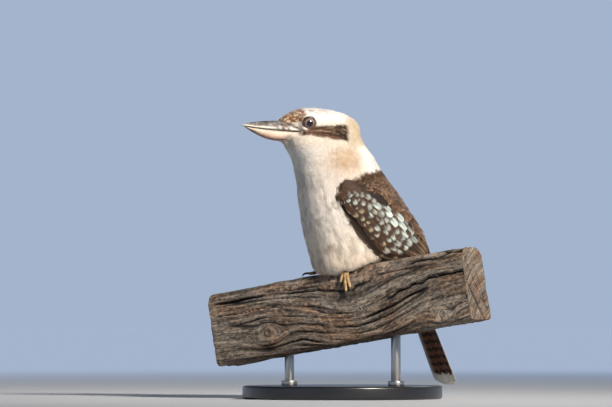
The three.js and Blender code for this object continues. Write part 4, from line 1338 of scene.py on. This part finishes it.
for side, sign in (("left", 1), ("right", -1)):
    centre, ahead = from_head(np.array([
        (EYE_AHEAD, sign * EYE_OUT, EYE_UP),
        (EYE_AHEAD + GAZE_AHEAD, sign * (EYE_OUT + 1), EYE_UP + GAZE_UP)]))
    out = unit(ahead - centre)
    turn = Vector(out).to_track_quat("Z", "Y").to_euler()
    low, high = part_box(f"eye_{side}")
    radius = (high.z - low.z) / 2 / MM
    bpy.ops.object.select_all(action="DESELECT")
    bpy.ops.mesh.primitive_uv_sphere_add(
        segments=64, ring_count=48, radius=radius * MM, location=centre * MM, rotation=turn)
    ball = bpy.context.active_object
    bpy.ops.object.transform_apply()
    from_centre = corners(ball) - centre
    from_axis = np.linalg.norm(np.cross(from_centre, out), axis=1)
    from_axis[from_centre @ out < 0] = radius * 2
    keep_values(ball, "Iris", from_axis / IRIS_SCALE)
    bpy.ops.object.shade_smooth()
    # A wet cornea over the iris: very smooth, with a clear coat. The iris has fine spokes and a dark rim.
    eye = finish(f"wet_eye_{side}", Roughness=0.12, IOR=1.4, Coat_Weight=1.0, Coat_Roughness=0.02)
    pupil, iris = PUPIL_RADIUS / IRIS_SCALE, IRIS_RADIUS / IRIS_SCALE
    iris_at = add(eye, "Attribute", output="Fac", attribute_name="Iris")
    colour = add(eye, "ValToRGB", {"Fac": iris_at}, stops=[
        (0.0, "#0b090a"), (pupil - 0.02, "#0b090a"), (pupil + 0.02, "#473730"), (0.37, "#6a554a"),
        (0.47, "#8a7466"), (iris, "#5d473c"), (iris + 0.05, "#1b1412")])
    place = add(eye, "TexCoord", output="Object")
    fibres = add(eye, "TexNoise", {"Vector": place, "Scale": 1100.0, "Detail": 2.0})
    grained(eye, colour, fibres, (0.3, 0.7), (0.8, 1.15))
    settle(ball, f"eyeball_{side}", eye, "eye", f"eye_{side}")

    # The lids: one soft ring, drawn out a little to a corner in front and behind.
    rim = math.sqrt(radius ** 2 - LID_RADIUS ** 2)
    bpy.ops.object.select_all(action="DESELECT")
    bpy.ops.mesh.primitive_torus_add(
        major_segments=72, minor_segments=16, major_radius=(LID_RADIUS - 0.15) * MM,
        minor_radius=LID_TUBE * MM, location=(centre + out * (rim + 0.1)) * MM, rotation=turn)
    lid = bpy.context.active_object
    bpy.ops.object.transform_apply()
    head = head_places(bird_places(corners(lid)))
    reach = (head[:, 0] - EYE_AHEAD) / LID_RADIUS
    head += np.column_stack([0.9 * reach ** 3, -sign * 0.35 * reach ** 2, -0.25 * reach ** 2])
    places = from_head(head)
    move_corners(lid, places + corner_normals(lid) * (0.16 * (noise(places, 0.9, 46) - 0.5))[:, None])
    bpy.ops.object.shade_smooth()
    settle(lid, f"eyelids_{side}", lid_skin, "eye")

# ---------------------------------------------------------------- floor, lights and camera
# A pale seamless paper floor. A large soft light stands high on the right, in front of the bird, and a
# weak cool one fills from the left. The camera is far off, on a long lens, near the beam's height.

BODY_TURN = math.radians(28)
# How far off the camera stands, how high its lens is, where it aims from the feet and how wide its
# picture is there.
FAR = 6.0
LENS_HEIGHT = 0.09
AIM_SIDE = -0.0347
AIM_UP = 0.0702
PICTURE_WIDTH = 0.6426
SENSOR = 36.0
BACKDROP = "#a4b4cc"

camera_right = Vector((math.sin(BODY_TURN), math.cos(BODY_TURN), 0))
to_camera = Vector((math.cos(BODY_TURN), -math.sin(BODY_TURN), 0))
feet = Vector(FEET) * MM

bpy.ops.object.select_all(action="DESELECT")
bpy.ops.mesh.primitive_plane_add(size=60)
floor = bpy.context.active_object
floor.name = "floor"
# Matt paper that glows more the farther it is from the set, painted light that runs it into the backdrop with
# no line between them.
paper = finish("seamless_paper", Roughness=0.95, Base_Color="#b2b6bb", Emission_Color=BACKDROP)
place = add(paper, "TexCoord", output="Object")
distance = add(paper, "VectorMath", {0: place}, output="Value", operation="LENGTH")
feed(paper, Emission_Strength=add(
    paper, "MapRange", {"Value": distance, "From Min": 0.7, "From Max": 3.4, "To Max": 0.877},
    interpolation_type="SMOOTHSTEP"))
floor.data.materials.append(paper)

# The backdrop is brightest at the height of the set and dims towards the ceiling.
world = bpy.data.worlds.new("studio")
bpy.context.scene.world = world
world.use_nodes = True
way = add(world, "TexCoord", output="Generated")
height = add(world, "SeparateXYZ", {"Vector": way}, output="Z")
dimming = add(world, "MapRange", {"Value": height, "From Min": 0.06, "From Max": 0.35, "To Min": 1.0,
                                  "To Max": 0.18}, interpolation_type="SMOOTHSTEP")
give(world, world.node_tree.nodes["Background"], {"Color": BACKDROP, "Strength": dimming})


def softbox(name, right, up, near, size, spread, watts, colour):
    """A square light, placed by how far right of, above and nearer than the feet it stands. The
    spread of its beam is in degrees, as a grid in front of the cloth narrows it."""
    spot = feet + camera_right * right + to_camera * near + Vector((0, 0, up))
    bpy.ops.object.light_add(type="AREA", location=spot)
    light = bpy.context.active_object
    light.name = name
    light.data.size = size
    light.data.spread = math.radians(spread)
    light.data.energy = watts
    light.data.color = linear(colour)[:3]
    light.rotation_euler = (feet + Vector((0, 0, 0.08)) - spot).to_track_quat("-Z", "Y").to_euler()


softbox("key_light", 1.8, 1.9, 2.42, 0.6, 36, 10.5, "#fff5e9")
softbox("fill_light", -1.3, 0.5, 1.0, 1.2, 180, 1.2, "#cfe0ff")
softbox("rim_light", 0.6, 1.2, -1.4, 0.8, 180, 7, "#ffffff")

aim = feet + camera_right * AIM_SIDE + Vector((0, 0, AIM_UP))
lens_place = aim + to_camera * FAR
lens_place.z = LENS_HEIGHT
bpy.ops.object.camera_add(location=lens_place)
camera = bpy.context.active_object
camera.name = "camera"
camera.rotation_euler = (aim - lens_place).to_track_quat("-Z", "Y").to_euler()
camera.data.sensor_width = SENSOR
camera.data.lens = SENSOR * FAR / PICTURE_WIDTH
camera.data.clip_end = 100
bpy.context.scene.camera = camera
bpy.context.scene.view_settings.view_transform = "Standard"
